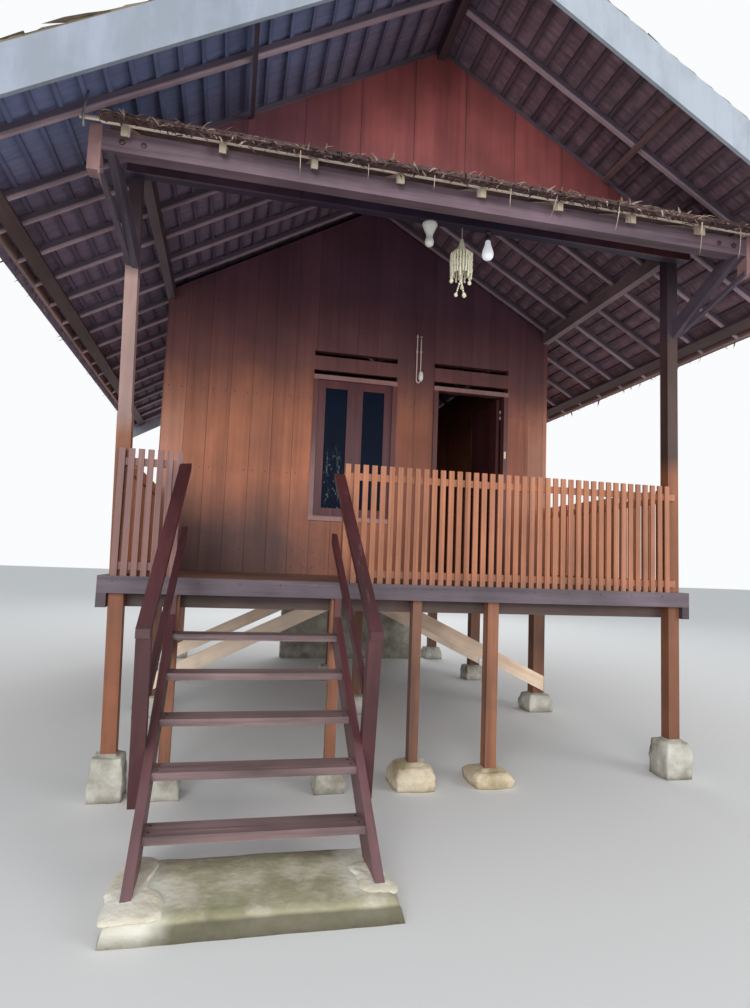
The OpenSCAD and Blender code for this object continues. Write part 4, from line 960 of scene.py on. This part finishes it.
class STILT_OT_thatch(bpy.types.Operator):
    """Thatch slopes, ridge cap and front skirt with their leaf rows and frayed edges"""
    bl_idname = "stilt.thatch"
    bl_label = "Thatch"

    def execute(self, context):
        looks = context.scene.stilt_thatch
        leaf, under = tuple(looks.leaf), tuple(looks.under)
        y0, y1 = THATCH[0].y, THATCH[1].y
        reach = THATCH[1].x
        start = EAVE_LATH % LATH_PITCH
        # Painted light: the underside of the left slope is painted bluer, as lit by the sky in the shade,
        # and paler towards the front eave.
        body = leaf_finish("thatch_under", gained(under, 0.35), under, gained(under, 1.25), "XZ",
            rows=("X", LATH_PITCH, start), zones=(
            zone(tone(118, 106, 132), 0.7, ("X", 0.3, -1.6)),
            zone(tone(112, 124, 162), 0.85, ("X", 0.3, -1.2), ("Y", RIM_Y + 0.3, RIM_Y - 0.4))),
                above=((RIDGE_Z + THATCH_LOW) * math.cos(PITCH) + 0.032, gained(leaf, 0.8)))
        outer = leaf_finish("thatch_leaves", gained(leaf, 0.4), leaf, tone(176, 162, 140), "XZ")
        nose = leaf_finish("thatch_roll", tone(44, 30, 34), tone(92, 66, 66), tone(150, 120, 112), "YZ")
        tips = leaf_finish("thatch_tips", tone(120, 98, 84), tone(196, 170, 150), tone(232, 214, 196),
            "XZ")

        def slope(side):
            def at(s, t, top):
                x = s * reach
                y = y0 + t * (y1 - y0)
                part = ((x - start) / LATH_PITCH) % 1.0
                wave = noise.noise(Vector((x * 6, y * 5, side * 3.0 + (7 if top else 0))))
                thin = max(0.0, (s - 0.955) / 0.045)
                if top:
                    up = THATCH_UP * (1 - 0.38 * thin) - 0.006 + 0.012 * part + 0.005 * wave
                else:
                    up = 0.001 + 0.011 * (1 - part) + 0.003 * (1 + wave) + 0.014 * thin
                return Vector((side * x, y, roof_under(x) + THATCH_LOW + up))
            return at

        for side, name in ((-1, "thatch_left"), (1, "thatch_right")):
            mesh = shell(name + "_rows", 122, 120, slope(side))
            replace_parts(new_piece(name + "_rows", mesh, body), name)

        strip = leaf_shape("leaf_strip", looks.leaf_l, looks.leaf_w, 0.007, 0.012)
        tatter = leaf_shape("leaf_tatter", 0.15, 0.028, 0.004, 0.05)
        run = reach - 0.20
        rows = int(run / LATH_PITCH)
        length = y1 - y0 - 0.06
        middle_y = (y0 + y1) / 2

        def slope_rows(name, side, x, up, **values):
            """Rows of leaf along one roof slope, at a distance x from the middle, up above the laths."""
            return rows_mesh(name, Length=length, Turn=(0.0, PITCH, 0.0 if side > 0 else math.pi),
                Finish=outer, Place=(x * side, middle_y, roof_under(x) + THATCH_LOW + up), **values)

        for side, name in ((-1, "left"), (1, "right")):
            middle_x = 0.05 + run / 2
            leaves = slope_rows("leaves_" + name, side, middle_x, THATCH_UP - 0.004, Rows=rows,
                Columns=looks.columns, Run=run / math.cos(PITCH) * 0.92, Jitter=(0.03, 0.02, 0.004),
                Turn_Low=(-0.15, -math.radians(4), -0.12), Turn_High=(0.15, 0.01, 0.12), Size_Low=0.75,
                Size_High=1.1, Seed=looks.seed + side, Shape=strip)
            fringe = slope_rows("fringe_" + name, side, reach - 0.105, THATCH_UP * 0.35, Rows=2,
                Columns=210, Run=0.08, Jitter=(0.02, 0.05, 0.010), Turn_Low=(-0.5, -0.05, -0.6),
                Turn_High=(0.5, 0.55, 0.6), Size_Low=0.2, Size_High=0.55, Seed=looks.seed + 20 + side,
                Shape=tatter)
            tufts = slope_rows("tufts_" + name, side, reach - 0.07, THATCH_UP * 0.3, Rows=2, Columns=28,
                Run=0.03, Jitter=(0.02, 0.11, 0.010), Turn_Low=(-0.7, 0.5, -0.7),
                Turn_High=(0.7, 1.2, 0.7), Size_Low=0.35, Size_High=0.85, Seed=looks.seed + 24 + side,
                Shape=tatter)
            joined("leaf_rows_" + name, [leaves, fringe, tufts], outer)

        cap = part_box("ridge_cap")

        def cap_at(s, t, top):
            x = cap[0].x + s * (cap[1].x - cap[0].x)
            y = cap[0].y + t * (cap[1].y - cap[0].y)
            base = roof_under(x) + THATCH_LOW + THATCH_UP
            wave = noise.noise(Vector((x * 7, y * 4, 5.0)))
            edge = min(1.0, (cap[1].x - abs(x)) / 0.05)
            crown = 0.014 * math.exp(-(x / 0.06) ** 2)
            up = (0.062 * edge + 0.004 + crown + 0.006 * wave) if top else 0.001
            return Vector((x, y, min(base + up, cap[1].z)))

        mesh = shell("ridge_rows", 30, 110, cap_at)
        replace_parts(new_piece("ridge_rows", mesh, outer), "ridge_cap")
        caps = [slope_rows("cap_leaves", side, 0.16, THATCH_UP + 0.066, Rows=3, Columns=170, Run=0.24,
            Jitter=(0.03, 0.02, 0.004), Turn_Low=(-0.2, -0.08, -0.25), Turn_High=(0.2, 0.10, 0.25),
            Size_Low=0.6, Size_High=0.95, Seed=looks.seed + 40 + side, Shape=strip) for side in (-1, 1)]
        joined("ridge_leaves", caps, outer)

        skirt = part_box("skirt_thatch")
        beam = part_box("outer_beam")
        half_w = skirt[1].x
        front, back = skirt[0].y + 0.020, skirt[1].y
        low_up = 0.055 * SKIRT_UP

        def skirt_at(s, t, top):
            x = -half_w + s * 2 * half_w
            y = front + t * (back - front)
            wave = noise.noise(Vector((x * 6, y * 9, 2.0 if top else 9.0)))
            under_z = beam[1].z - 0.030 + (y - beam[0].y) * SKIRT_TAN + low_up
            nose = max(0.0, 1 - t / 0.14)
            if top:
                z = under_z + 0.070 * SKIRT_UP * (1 - 0.35 * nose * nose) + 0.006 * wave
            else:
                z = under_z + 0.034 * nose + 0.002 + 0.003 * (1 + wave)
            limit = roof_under(x) - 0.003
            return Vector((x, y, min(z, limit if top else limit - 0.004)))

        mesh = shell("skirt_rows", 150, 26, skirt_at)
        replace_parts(new_piece("skirt_rows", mesh, nose), "skirt_thatch")
        edge_z = skirt_at(0.5, 0.0, True).z
        down = math.atan(SKIRT_TAN)
        tuft = leaf_shape("leaf_tuft", 0.10, 0.020, 0.003, 0.035)
        thread = leaf_shape("leaf_thread", 0.20, 0.009, 0.002, 0.03)
        across = half_w * 2 - 0.06
        forward = (0.0, down * 0.5, -math.pi / 2)
        roll = rows_mesh("skirt_roll", Rows=3, Columns=230, Run=0.06, Length=across,
            Jitter=(0.02, 0.012, 0.014), Turn_Low=(-0.6, -0.5, -1.2), Turn_High=(0.6, 0.5, 1.2),
            Size_Low=0.3, Size_High=0.75, Seed=looks.seed + 60, Turn=forward,
            Place=(0, front + 0.034, edge_z - 0.004), Shape=tuft, Finish=nose)
        flecks = rows_mesh("skirt_flecks", Rows=2, Columns=96, Run=0.03, Length=across,
            Jitter=(0.02, 0.035, 0.022), Turn_Low=(-0.8, -0.9, -1.3), Turn_High=(0.8, 0.7, 1.3),
            Size_Low=0.25, Size_High=0.75, Seed=looks.seed + 62, Turn=forward,
            Place=(0, front + 0.012, edge_z + 0.002), Shape=tuft, Finish=tips)
        strings = rows_mesh("skirt_strings", Rows=1, Columns=8, Run=0.01, Length=across * 0.72,
            Jitter=(0.01, 0.16, 0.01), Turn_Low=(-0.4, 1.1, -0.5), Turn_High=(0.4, 1.7, 0.5),
            Size_Low=0.35, Size_High=1.1, Seed=looks.seed + 63, Turn=forward,
            Place=(0.5, front - 0.012, edge_z - 0.030), Shape=thread, Finish=tips)
        cover = rows_mesh("skirt_cover", Rows=4, Columns=120, Run=0.52, Length=half_w * 2 - 0.12,
            Jitter=(0.03, 0.02, 0.003), Turn_Low=(-0.15, -0.05, -0.2), Turn_High=(0.15, 0.05, 0.2),
            Size_Low=0.4, Size_High=0.6, Seed=looks.seed + 61, Turn=(0.0, down, -math.pi / 2),
            Place=(0, (front + back) / 2 + 0.03, skirt_at(0.5, 0.5, True).z + 0.002), Shape=strip,
            Finish=outer)
        for mesh in (cover, roll, flecks):
            for v in mesh.vertices:
                v.co.z = min(v.co.z, roof_under(v.co.x) - 0.002)
                v.co.y = min(v.co.y, back)
        joined("skirt_leaves", [cover], outer)
        joined("skirt_roll", [roll], nose)
        joined("skirt_tatters", [flecks, strings], tips)
        for obj in (strip, tatter, tuft, thread):
            bpy.data.objects.remove(obj)
        return {"FINISHED"}


class STILT_OT_stair(bpy.types.Operator):
    """Stair finish, mossy slab and the mortar at its feet"""
    bl_idname = "stilt.stair"
    bl_label = "Stair"

    def execute(self, context):
        light = tuple(context.scene.stilt_timber.stair)
        dark = gained(light, 0.42)
        pale = tone(158, 126, 126)
        climb = ("X", -math.radians(36.4), False)
        clad(timber("stair_varnish", dark, light, "Y", rough=0.5, worn=pale, turn=climb, zones=(
            zone(tone(150, 118, 120), 0.45, ("Y", -2.3, -3.2)),)), "stair_stringers")
        clad(timber("rail_varnish", gained(light, 0.28, 0.2, 0.22), gained(light, 0.66, 0.5, 0.54), "Y",
            rough=0.45, worn=tone(128, 96, 100), turn=climb), "stair_rails")
        clad(timber("tread_varnish", tone(76, 58, 60), tone(156, 128, 128), "X", rough=0.5,
            worn=tone(188, 166, 164)), "stair_treads")
        clad(timber("newel_varnish", gained(light, 0.34), gained(light, 0.84), "Z", rough=0.5,
            worn=tone(128, 96, 100)), "stair_newels")
        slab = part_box("stair_slab")
        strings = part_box("stair_stringers")
        top = slab[1].z
        long, deep = slab[1].x - slab[0].x, slab[1].y - slab[0].y
        lime = tone(236, 228, 208)
        cast = masonry("mossy_slab", tone(204, 196, 172), tone(228, 220, 200), tone(140, 132, 106),
            moss=tone(150, 148, 114), scale=9.0, damp=0.05, zones=(
            # Painted shade: darker at the back under the treads and on the lower front face.
            zone(tone(126, 116, 94), 0.6, ("Y", slab[1].y - 0.17, slab[1].y - 0.06), ragged=2.0),
            zone(tone(92, 88, 72), 0.85, ("Z", 0.076, 0.062), ("Y", slab[0].y + 0.05, slab[0].y + 0.035)),
            zone(lime, 0.9, ("X", slab[0].x + 0.31, slab[0].x + 0.20), ragged=3.0),
            zone(lime, 0.8, ("X", slab[1].x - 0.27, slab[1].x - 0.22),
                ("Y", slab[0].y + 0.12, slab[0].y + 0.18), ragged=3.0)))

        def slab_at(s, t, over):
            x, y = slab[0].x + s * long, slab[0].y + t * deep
            ragged = 0.5 + 0.5 * noise.noise(Vector((x * 9, y * 9, 3.0)))
            inset = 0.006 + 0.014 * ragged + (0.016 if over else 0.0)
            margins = (min(s, 1 - s) * long, min(t, 1 - t) * deep)
            side, end = [max(0.0, 1 - margin / 0.08) ** 2 for margin in margins]
            near = 1 - (1 - side) * (1 - end)
            x += inset * side * (1 if s < 0.5 else -1)
            y += inset * end * (1 if t < 0.5 else -1)
            if not over:
                return Vector((x, y, 0.0))
            lump = noise.fractal(Vector((x * 5, y * 5, 1.0)), 0.8, 2.0, 4)
            return Vector((x, y, top - 0.003 - 0.028 * near * (0.7 + 0.6 * ragged) + 0.003 * lump))

        mesh = shell("stair_slab_cast", 110, 56, slab_at, True)
        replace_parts(new_piece("stair_slab_cast", mesh, cast), "stair_slab")
        mortar = masonry("pale_mortar", tone(230, 222, 202), tone(246, 240, 226), tone(196, 184, 156),
            scale=12.0, damp=0.01)
        bm = bmesh.new()
        foot_y = strings[0].y
        left, right, face, rear = slab[0].x, slab[1].x, slab[0].y, slab[1].y
        left_patch = [(0.02, face + 0.03), (0.13, face + 0.02), (0.245, face + 0.04), (0.26, face + 0.14),
            (0.235, foot_y + 0.09), (0.17, foot_y + 0.16), (0.20, rear - 0.10), (0.15, rear - 0.02),
            (0.05, rear - 0.03), (0.01, foot_y + 0.16), (0.015, foot_y + 0.02)]
        right_patch = [(-0.20, foot_y - 0.01), (-0.11, foot_y - 0.055), (-0.02, foot_y - 0.03),
            (-0.035, foot_y + 0.07), (-0.06, foot_y + 0.17), (-0.14, foot_y + 0.26),
            (-0.21, foot_y + 0.22), (-0.19, foot_y + 0.10)]
        for side, outline, rise, seed in ((left, left_patch, 0.008, 5), (right, right_patch, 0.009, 6)):
            smear(bm, [(side + x, y) for x, y in outline], top, rise, seed)
        new_piece("stair_mortar", mesh_from(bm, "stair_mortar", True), mortar)
        return {"FINISHED"}


class STILT_OT_footings(bpy.types.Operator):
    """Rough cast footing blocks and the masonry pier"""
    bl_idname = "stilt.footings"
    bl_label = "Footings"

    def execute(self, context):
        block = masonry("block_concrete", tone(192, 188, 177), tone(224, 220, 208), tone(138, 130, 112),
            scale=12.0, damp=0.05)
        yellow = masonry("pad_mortar", tone(222, 206, 178), tone(244, 232, 208), tone(168, 150, 116),
            scale=12.0, damp=0.04)
        clad(masonry("pier_concrete", tone(160, 156, 144), tone(196, 192, 180), tone(108, 102, 90),
            scale=8.0), "masonry_pier")
        blocks, pads = bmesh.new(), bmesh.new()
        for seed, (low, high) in enumerate(solid_boxes(NODES["footing_blocks"].data), 1):
            pad = high[0] - low[0] > PAD_WIDTH
            stone(pads if pad else blocks, low, high, seed, rough=0.11 if pad else 0.085,
                rounding=0.60 if pad else 0.26)
        for name, bm, mat in (("rough_blocks", blocks, block), ("rough_pads", pads, yellow)):
            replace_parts(new_piece(name, mesh_from(bm, name, True), mat), "footing_blocks")
        return {"FINISHED"}


class STILT_OT_railings(bpy.types.Operator):
    """Slatted railings"""
    bl_idname = "stilt.railings"
    bl_label = "Railings"

    def execute(self, context):
        light = tuple(context.scene.stilt_timber.slat)
        dark = gained(light, 0.5, 0.42, 0.4)
        clad(timber("slats_front", dark, light, "Z", rough=0.5, patch=0.25,
            boards=("X", SLAT_PITCH, 0.0, 0.12, 0.0005), zones=(
            zone(tone(140, 92, 68), 0.4, ("X", -1.2, -0.9)),
            zone(tone(104, 76, 80), 0.8, ("X", -1.50, -1.60)),
            zone(tone(110, 76, 66), 0.4, ("Z", 1.50, 1.40)))), "front_railing")
        clad(timber("slats_side", dark, light, "Z", rough=0.5, patch=0.25,
            boards=("Y", SLAT_PITCH, 0.0, 0.10, 0.0005)), "side_railings")
        return {"FINISHED"}


class STILT_OT_fasteners(bpy.types.Operator):
    """Nail heads, beam bolts, the skirt pole with its strap, the hasp and the lock plate"""
    bl_idname = "stilt.fasteners"
    bl_label = "Nails, Bolts and Lock"

    def execute(self, context):
        plank = context.scene.stilt_timber.plank
        steel = plain_finish("nail_steel", tone(88, 74, 72), 0.5, metallic=0.8)
        zinc = plain_finish("bolt_zinc", tone(156, 154, 150), 0.42, metallic=0.9)
        head = flat_disc("nail_head", 0.0065, 0.0022)
        nut = flat_disc("bolt_head", 0.017, 0.012, 6, 0.25)
        front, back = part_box("front_wall_left"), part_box("back_wall")
        window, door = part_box("window_frame"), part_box("door_frame")
        spots = {key: [] for key in ("front", "back", "left", "right", "treads", "rim")}
        first = -plank * 10 + PLANK_SHIFT
        for k in range(21):
            for near in (NAIL_EDGE, plank - NAIL_EDGE):
                x = first + k * plank + near
                if abs(x) > 2.05:
                    continue
                for z in FRONT_NAILS:
                    if not any(box[0].x - 0.02 < x < box[1].x + 0.02 and bottom < z < HEAD_Z for box,
                            bottom in ((window, SILL_Z), (door, 0.0))):
                        spots["front"].append((x, front[0].y, z))
                    spots["back"].append((x, back[1].y, z))
        for k in range(17):
            y = front[1].y + 0.10 + k * plank
            for z in SIDE_NAILS:
                spots["left"].append((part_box("left_wall")[0].x, y, z))
                spots["right"].append((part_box("right_wall")[1].x, y, z))
        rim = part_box("rim_beam")
        for k in range(16):
            spots["rim"].append((rim[0].x + 0.09 + k * 0.265, rim[0].y, rim[1].z - 0.030))
        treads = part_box("stair_treads")
        thick = 0.038
        step = (treads[1].z - treads[0].z - thick) / 4
        for k in range(5):
            y = treads[0].y + k * (treads[1].y - treads[0].y - 0.18) / 4
            for x in (treads[0].x + 0.025, treads[1].x - 0.025):
                for deep in (0.05, 0.13):
                    spots["treads"].append((x, y + deep, treads[0].z + k * step + thick))
        quarter = math.pi / 2
        ahead = (quarter, 0, 0)
        for key, turn in (("front", ahead), ("rim", ahead), ("back", (-quarter, 0, 0)),
                ("left", (0, -quarter, 0)), ("right", (0, quarter, 0)), ("treads", (0, 0, 0))):
            mesh = points_mesh("nails_" + key, spots[key], Turn_Low=turn, Turn_High=turn, Size_Low=0.8,
                Size_High=1.15, Seed=3, Shape=head, Finish=steel)
            joined("nails_" + key, [mesh], steel)
        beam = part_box("outer_beam")
        bolts = [(side * x, beam[0].y, beam[0].z + 0.062) for side in (-1, 1) for x in (2.09, 1.97)]
        mesh = points_mesh("beam_bolts", bolts, Turn_Low=ahead, Turn_High=ahead, Size_Low=0.9,
            Size_High=1.1, Seed=4, Shape=nut, Finish=steel)
        joined("beam_bolts", [mesh], steel)
        pole_y, pole_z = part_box("skirt_rafters")[0].y + 0.018, beam[1].z + 0.022
        bm = bmesh.new()
        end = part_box("beam_struts")[0].x - 0.045
        sag = [0.004 * noise.noise(Vector((k * 0.7, 0.0, 5.0))) for k in range(41)]
        tube(bm, [(end + k * (2.195 - end) / 40, pole_y, pole_z + sag[k]) for k in range(41)], 0.013, 10)
        new_piece("skirt_pole", mesh_from(bm, "skirt_pole", True),
            NODES["skirt_rafters"].data.materials[0])
        bm = bmesh.new()
        tube(bm, [(end + 0.03, pole_y - 0.018, pole_z - 0.07), (end + 0.02, pole_y - 0.020, pole_z),
            (end + 0.025, pole_y - 0.016, pole_z + 0.06), (end + 0.04, pole_y - 0.010, pole_z + 0.15)],
            0.007, 8)
        new_piece("pole_strap", mesh_from(bm, "pole_strap", True), zinc)
        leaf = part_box("door_leaf")
        bm = bmesh.new()
        latch_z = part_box("porch_deck")[1].z + 1.010
        inner = leaf[1].x - 0.052
        add_box(bm, (inner - 0.002, leaf[1].y - 0.001, latch_z - 0.075),
            (inner + 0.026, leaf[1].y + 0.0025, latch_z + 0.075), 0.001)
        new_piece("lock_plate", mesh_from(bm, "lock_plate"), zinc, "door")
        bm = bmesh.new()
        add_box(bm, (door[1].x - 0.046, door[0].y - 0.006, 2.735),
            (door[1].x - 0.022, door[0].y + 0.001, 2.815), 0.003)
        brass = plain_finish("hasp_brass", tone(222, 208, 170), 0.5)
        new_piece("door_hasp", mesh_from(bm, "door_hasp"), brass)
        for obj in (head, nut):
            bpy.data.objects.remove(obj)
        return {"FINISHED"}


class STILT_OT_fittings(bpy.types.Operator):
    """Bulbs in their holders, looped wall cable and the shell chime"""
    bl_idname = "stilt.fittings"
    bl_label = "Fittings"

    def execute(self, context):
        white = plain_finish("white_plastic", tone(248, 247, 242), 0.35, spots=0.08)
        flex = plain_finish("pinkish_flex", tone(226, 200, 190), 0.45)
        dark = plain_finish("lamp_holder", tone(52, 46, 58), 0.45)
        shells = plain_finish("shell_string", tone(232, 226, 200), 0.55, spots=0.45, scale=30)
        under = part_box("tie_beams")[0].z
        low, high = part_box("shell_chime")
        chime_x, hang_y = (low.x + high.x) / 2, (low.y + high.y) / 2
        bulb_place = (0.429, hang_y, under)
        bm = bmesh.new()
        add_turned(bm, [(0.030, 0.0), (0.053, -0.003), (0.057, -0.020), (0.047, -0.040), (0.038, -0.066),
            (0.027, -0.088), (0.024, -0.108), (0.026, -0.122), (0.031, -0.134), (0.034, -0.152),
            (0.030, -0.170), (0.018, -0.182), (0.0, -0.186)], (-0.033, hang_y, under), 28)
        bulbs = mesh_from(bm, "bulbs", True)
        bm = bmesh.new()
        add_turned(bm, [(0.013, -0.068), (0.019, -0.076), (0.022, -0.098), (0.030, -0.124),
            (0.040, -0.152), (0.044, -0.176), (0.042, -0.196), (0.032, -0.212), (0.015, -0.221),
            (0.0, -0.223)], bulb_place, 28)
        bulb = mesh_from(bm, "bulb", True)
        # Painted glow: the bulb glass emits a faint light so that it reads bright; the bulb is not a lamp
        # of the scene.
        glow = plain_finish("glowing_milky_glass", tone(250, 250, 252), 0.3, spots=0.04)
        feed(glow.node_tree, glow.node_tree.nodes["Principled BSDF"],
            {"Emission Color": (0.86, 0.90, 1.0, 1), "Emission Strength": 0.35})
        new_piece("milky_bulb", bulb, glow)
        bm = bmesh.new()
        add_turned(bm, [(0.020, 0.0), (0.020, -0.012), (0.012, -0.016), (0.012, -0.038), (0.019, -0.044),
            (0.020, -0.070), (0.0, -0.072)], bulb_place, 20)
        new_piece("bulb_holder", mesh_from(bm, "bulb_holder", True), dark)
        bm = bmesh.new()
        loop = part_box("light_fittings")
        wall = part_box("front_wall_left")[0].y
        x0, x1 = 0.528, 0.572
        y, low, high = wall - 0.007, loop[0].z + 0.042, loop[1].z - 0.035
        path = [(x0, y, high - (high - low) * i / 12) for i in range(12)]
        path += [((x0 + x1) / 2 - 0.022 * math.cos(math.pi * i / 10), y,
            low - 0.030 * math.sin(math.pi * i / 10)) for i in range(11)]
        path += [(x1, y, low + (high - low) * i / 12) for i in range(1, 12)]
        tube(bm, path, 0.0070, 10)
        for z in (low + 0.30, low + 0.62 * (high - low), high - 0.03):
            for x in (x0, x1):
                add_box(bm, (x - 0.011, wall - 0.015, z), (x + 0.011, wall, z + 0.009), 0.002)
        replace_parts(new_piece("wall_cable", mesh_from(bm, "wall_cable", True), flex),
            "light_fittings")
        bm = bmesh.new()
        switch = [(0.008, 0.060), (0.018, 0.052), (0.024, 0.030), (0.026, 0.0), (0.023, -0.026),
            (0.014, -0.044), (0.0, -0.050)]
        add_turned(bm, switch, (x1, wall - 0.027, low + 0.030), 20)
        meshes = [bulbs, mesh_from(bm, "switch", True)]
        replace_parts(joined("bulbs_and_switch", meshes, white), "light_fittings")
        centre = Vector((chime_x, hang_y, under))
        spots = []
        for i in range(9):
            down, count, wide = 0.095 + 0.010 * i, 3 + i, 0.004 + 0.0026 * i
            spots += [centre + Vector((math.cos(2 * math.pi * k / count) * wide,
                math.sin(2 * math.pi * k / count) * wide, -down)) for k in range(count)]
        strands, links = 22, 23
        for k in range(strands):
            turn = 2 * math.pi * k / strands
            length = 0.36 + (0.03 if k % 3 == 0 else 0.0) + 0.012 * noise.noise(Vector((k * 2.3, 0, 0)))
            for i in range(links):
                s = i / (links - 1)
                wide = 0.026 + 0.052 * math.sin(min(1.0, s / 0.24) * math.pi / 2)
                wide += 0.004 * noise.noise(Vector((s * 6, k, 0)))
                wide *= 1.0 - 0.10 * max(0.0, s - 0.6)
                spots.append(centre + Vector((math.cos(turn) * wide, math.sin(turn) * wide,
                    -0.175 - (length - 0.175) * s)))
        ends = []
        for x, y, across, low_end in ((-0.062, 0.01, -0.008, 0.418), (0.058, -0.01, 0.006, 0.425),
                (0.026, -0.01, -0.066, 0.530), (-0.030, -0.01, 0.054, 0.525), (0.010, 0.03, 0.010, 0.45)):
            for i in range(14):
                s = i / 13
                spots.append(centre + Vector((x + across * s, y, -0.30 - (low_end - 0.30) * s)))
            ends.append(spots[-1])
        shape = bead("shell_bead", (0.0080, 0.0080, 0.0100))
        meshes = [points_mesh(name, places, Turn_Low=(-lean, -lean, -3.1), Turn_High=(lean, lean, 3.1),
            Size_Low=least, Size_High=most, Seed=seed, Shape=shape, Finish=shells) for name, places, lean,
            least, most, seed in (("chime_shells", spots, 0.6, 0.75, 1.2, 5),
            ("chime_ends", ends, 0.3, 1.7, 2.3, 6))]
        bm = bmesh.new()
        tube(bm, [centre, centre + Vector((0, 0, -0.10))], 0.002, 6)
        meshes.append(mesh_from(bm, "chime_string"))
        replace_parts(joined("shell_strings", meshes, shells), "shell_chime")
        bpy.data.objects.remove(shape)
        return {"FINISHED"}


class STILT_PT_panel(bpy.types.Panel):
    """Steps that dress the stilt house"""
    bl_label = "Stilt House"
    bl_space_type = "VIEW_3D"
    bl_region_type = "UI"
    bl_category = "Stilt House"

    def draw(self, context):
        for group in (context.scene.stilt_timber, context.scene.stilt_thatch):
            for key in group.bl_rna.properties.keys():
                if key not in ("rna_type", "name"):
                    self.layout.prop(group, key)
        for operator in OPERATORS:
            self.layout.operator(operator.bl_idname)


OPERATORS = (STILT_OT_stage, STILT_OT_timbers, STILT_OT_walls, STILT_OT_openings, STILT_OT_thatch,
             STILT_OT_stair, STILT_OT_footings, STILT_OT_railings, STILT_OT_fasteners,
             STILT_OT_fittings)
CLASSES = (StiltHouseTimber, StiltHouseThatch) + OPERATORS + (STILT_PT_panel,)


def register():
    for cls in CLASSES:
        bpy.utils.register_class(cls)
    bpy.types.Scene.stilt_timber = PointerProperty(type=StiltHouseTimber)
    bpy.types.Scene.stilt_thatch = PointerProperty(type=StiltHouseThatch)


def unregister():
    del bpy.types.Scene.stilt_thatch
    del bpy.types.Scene.stilt_timber
    for cls in reversed(CLASSES):
        bpy.utils.unregister_class(cls)


def main():
    register()
    for operator in OPERATORS:
        step = operator.bl_idname.split(".")[1]
        if getattr(bpy.ops.stilt, step)() != {"FINISHED"}:
            raise RuntimeError("the step " + step + " did not finish")


if __name__ == "__main__":
    main()
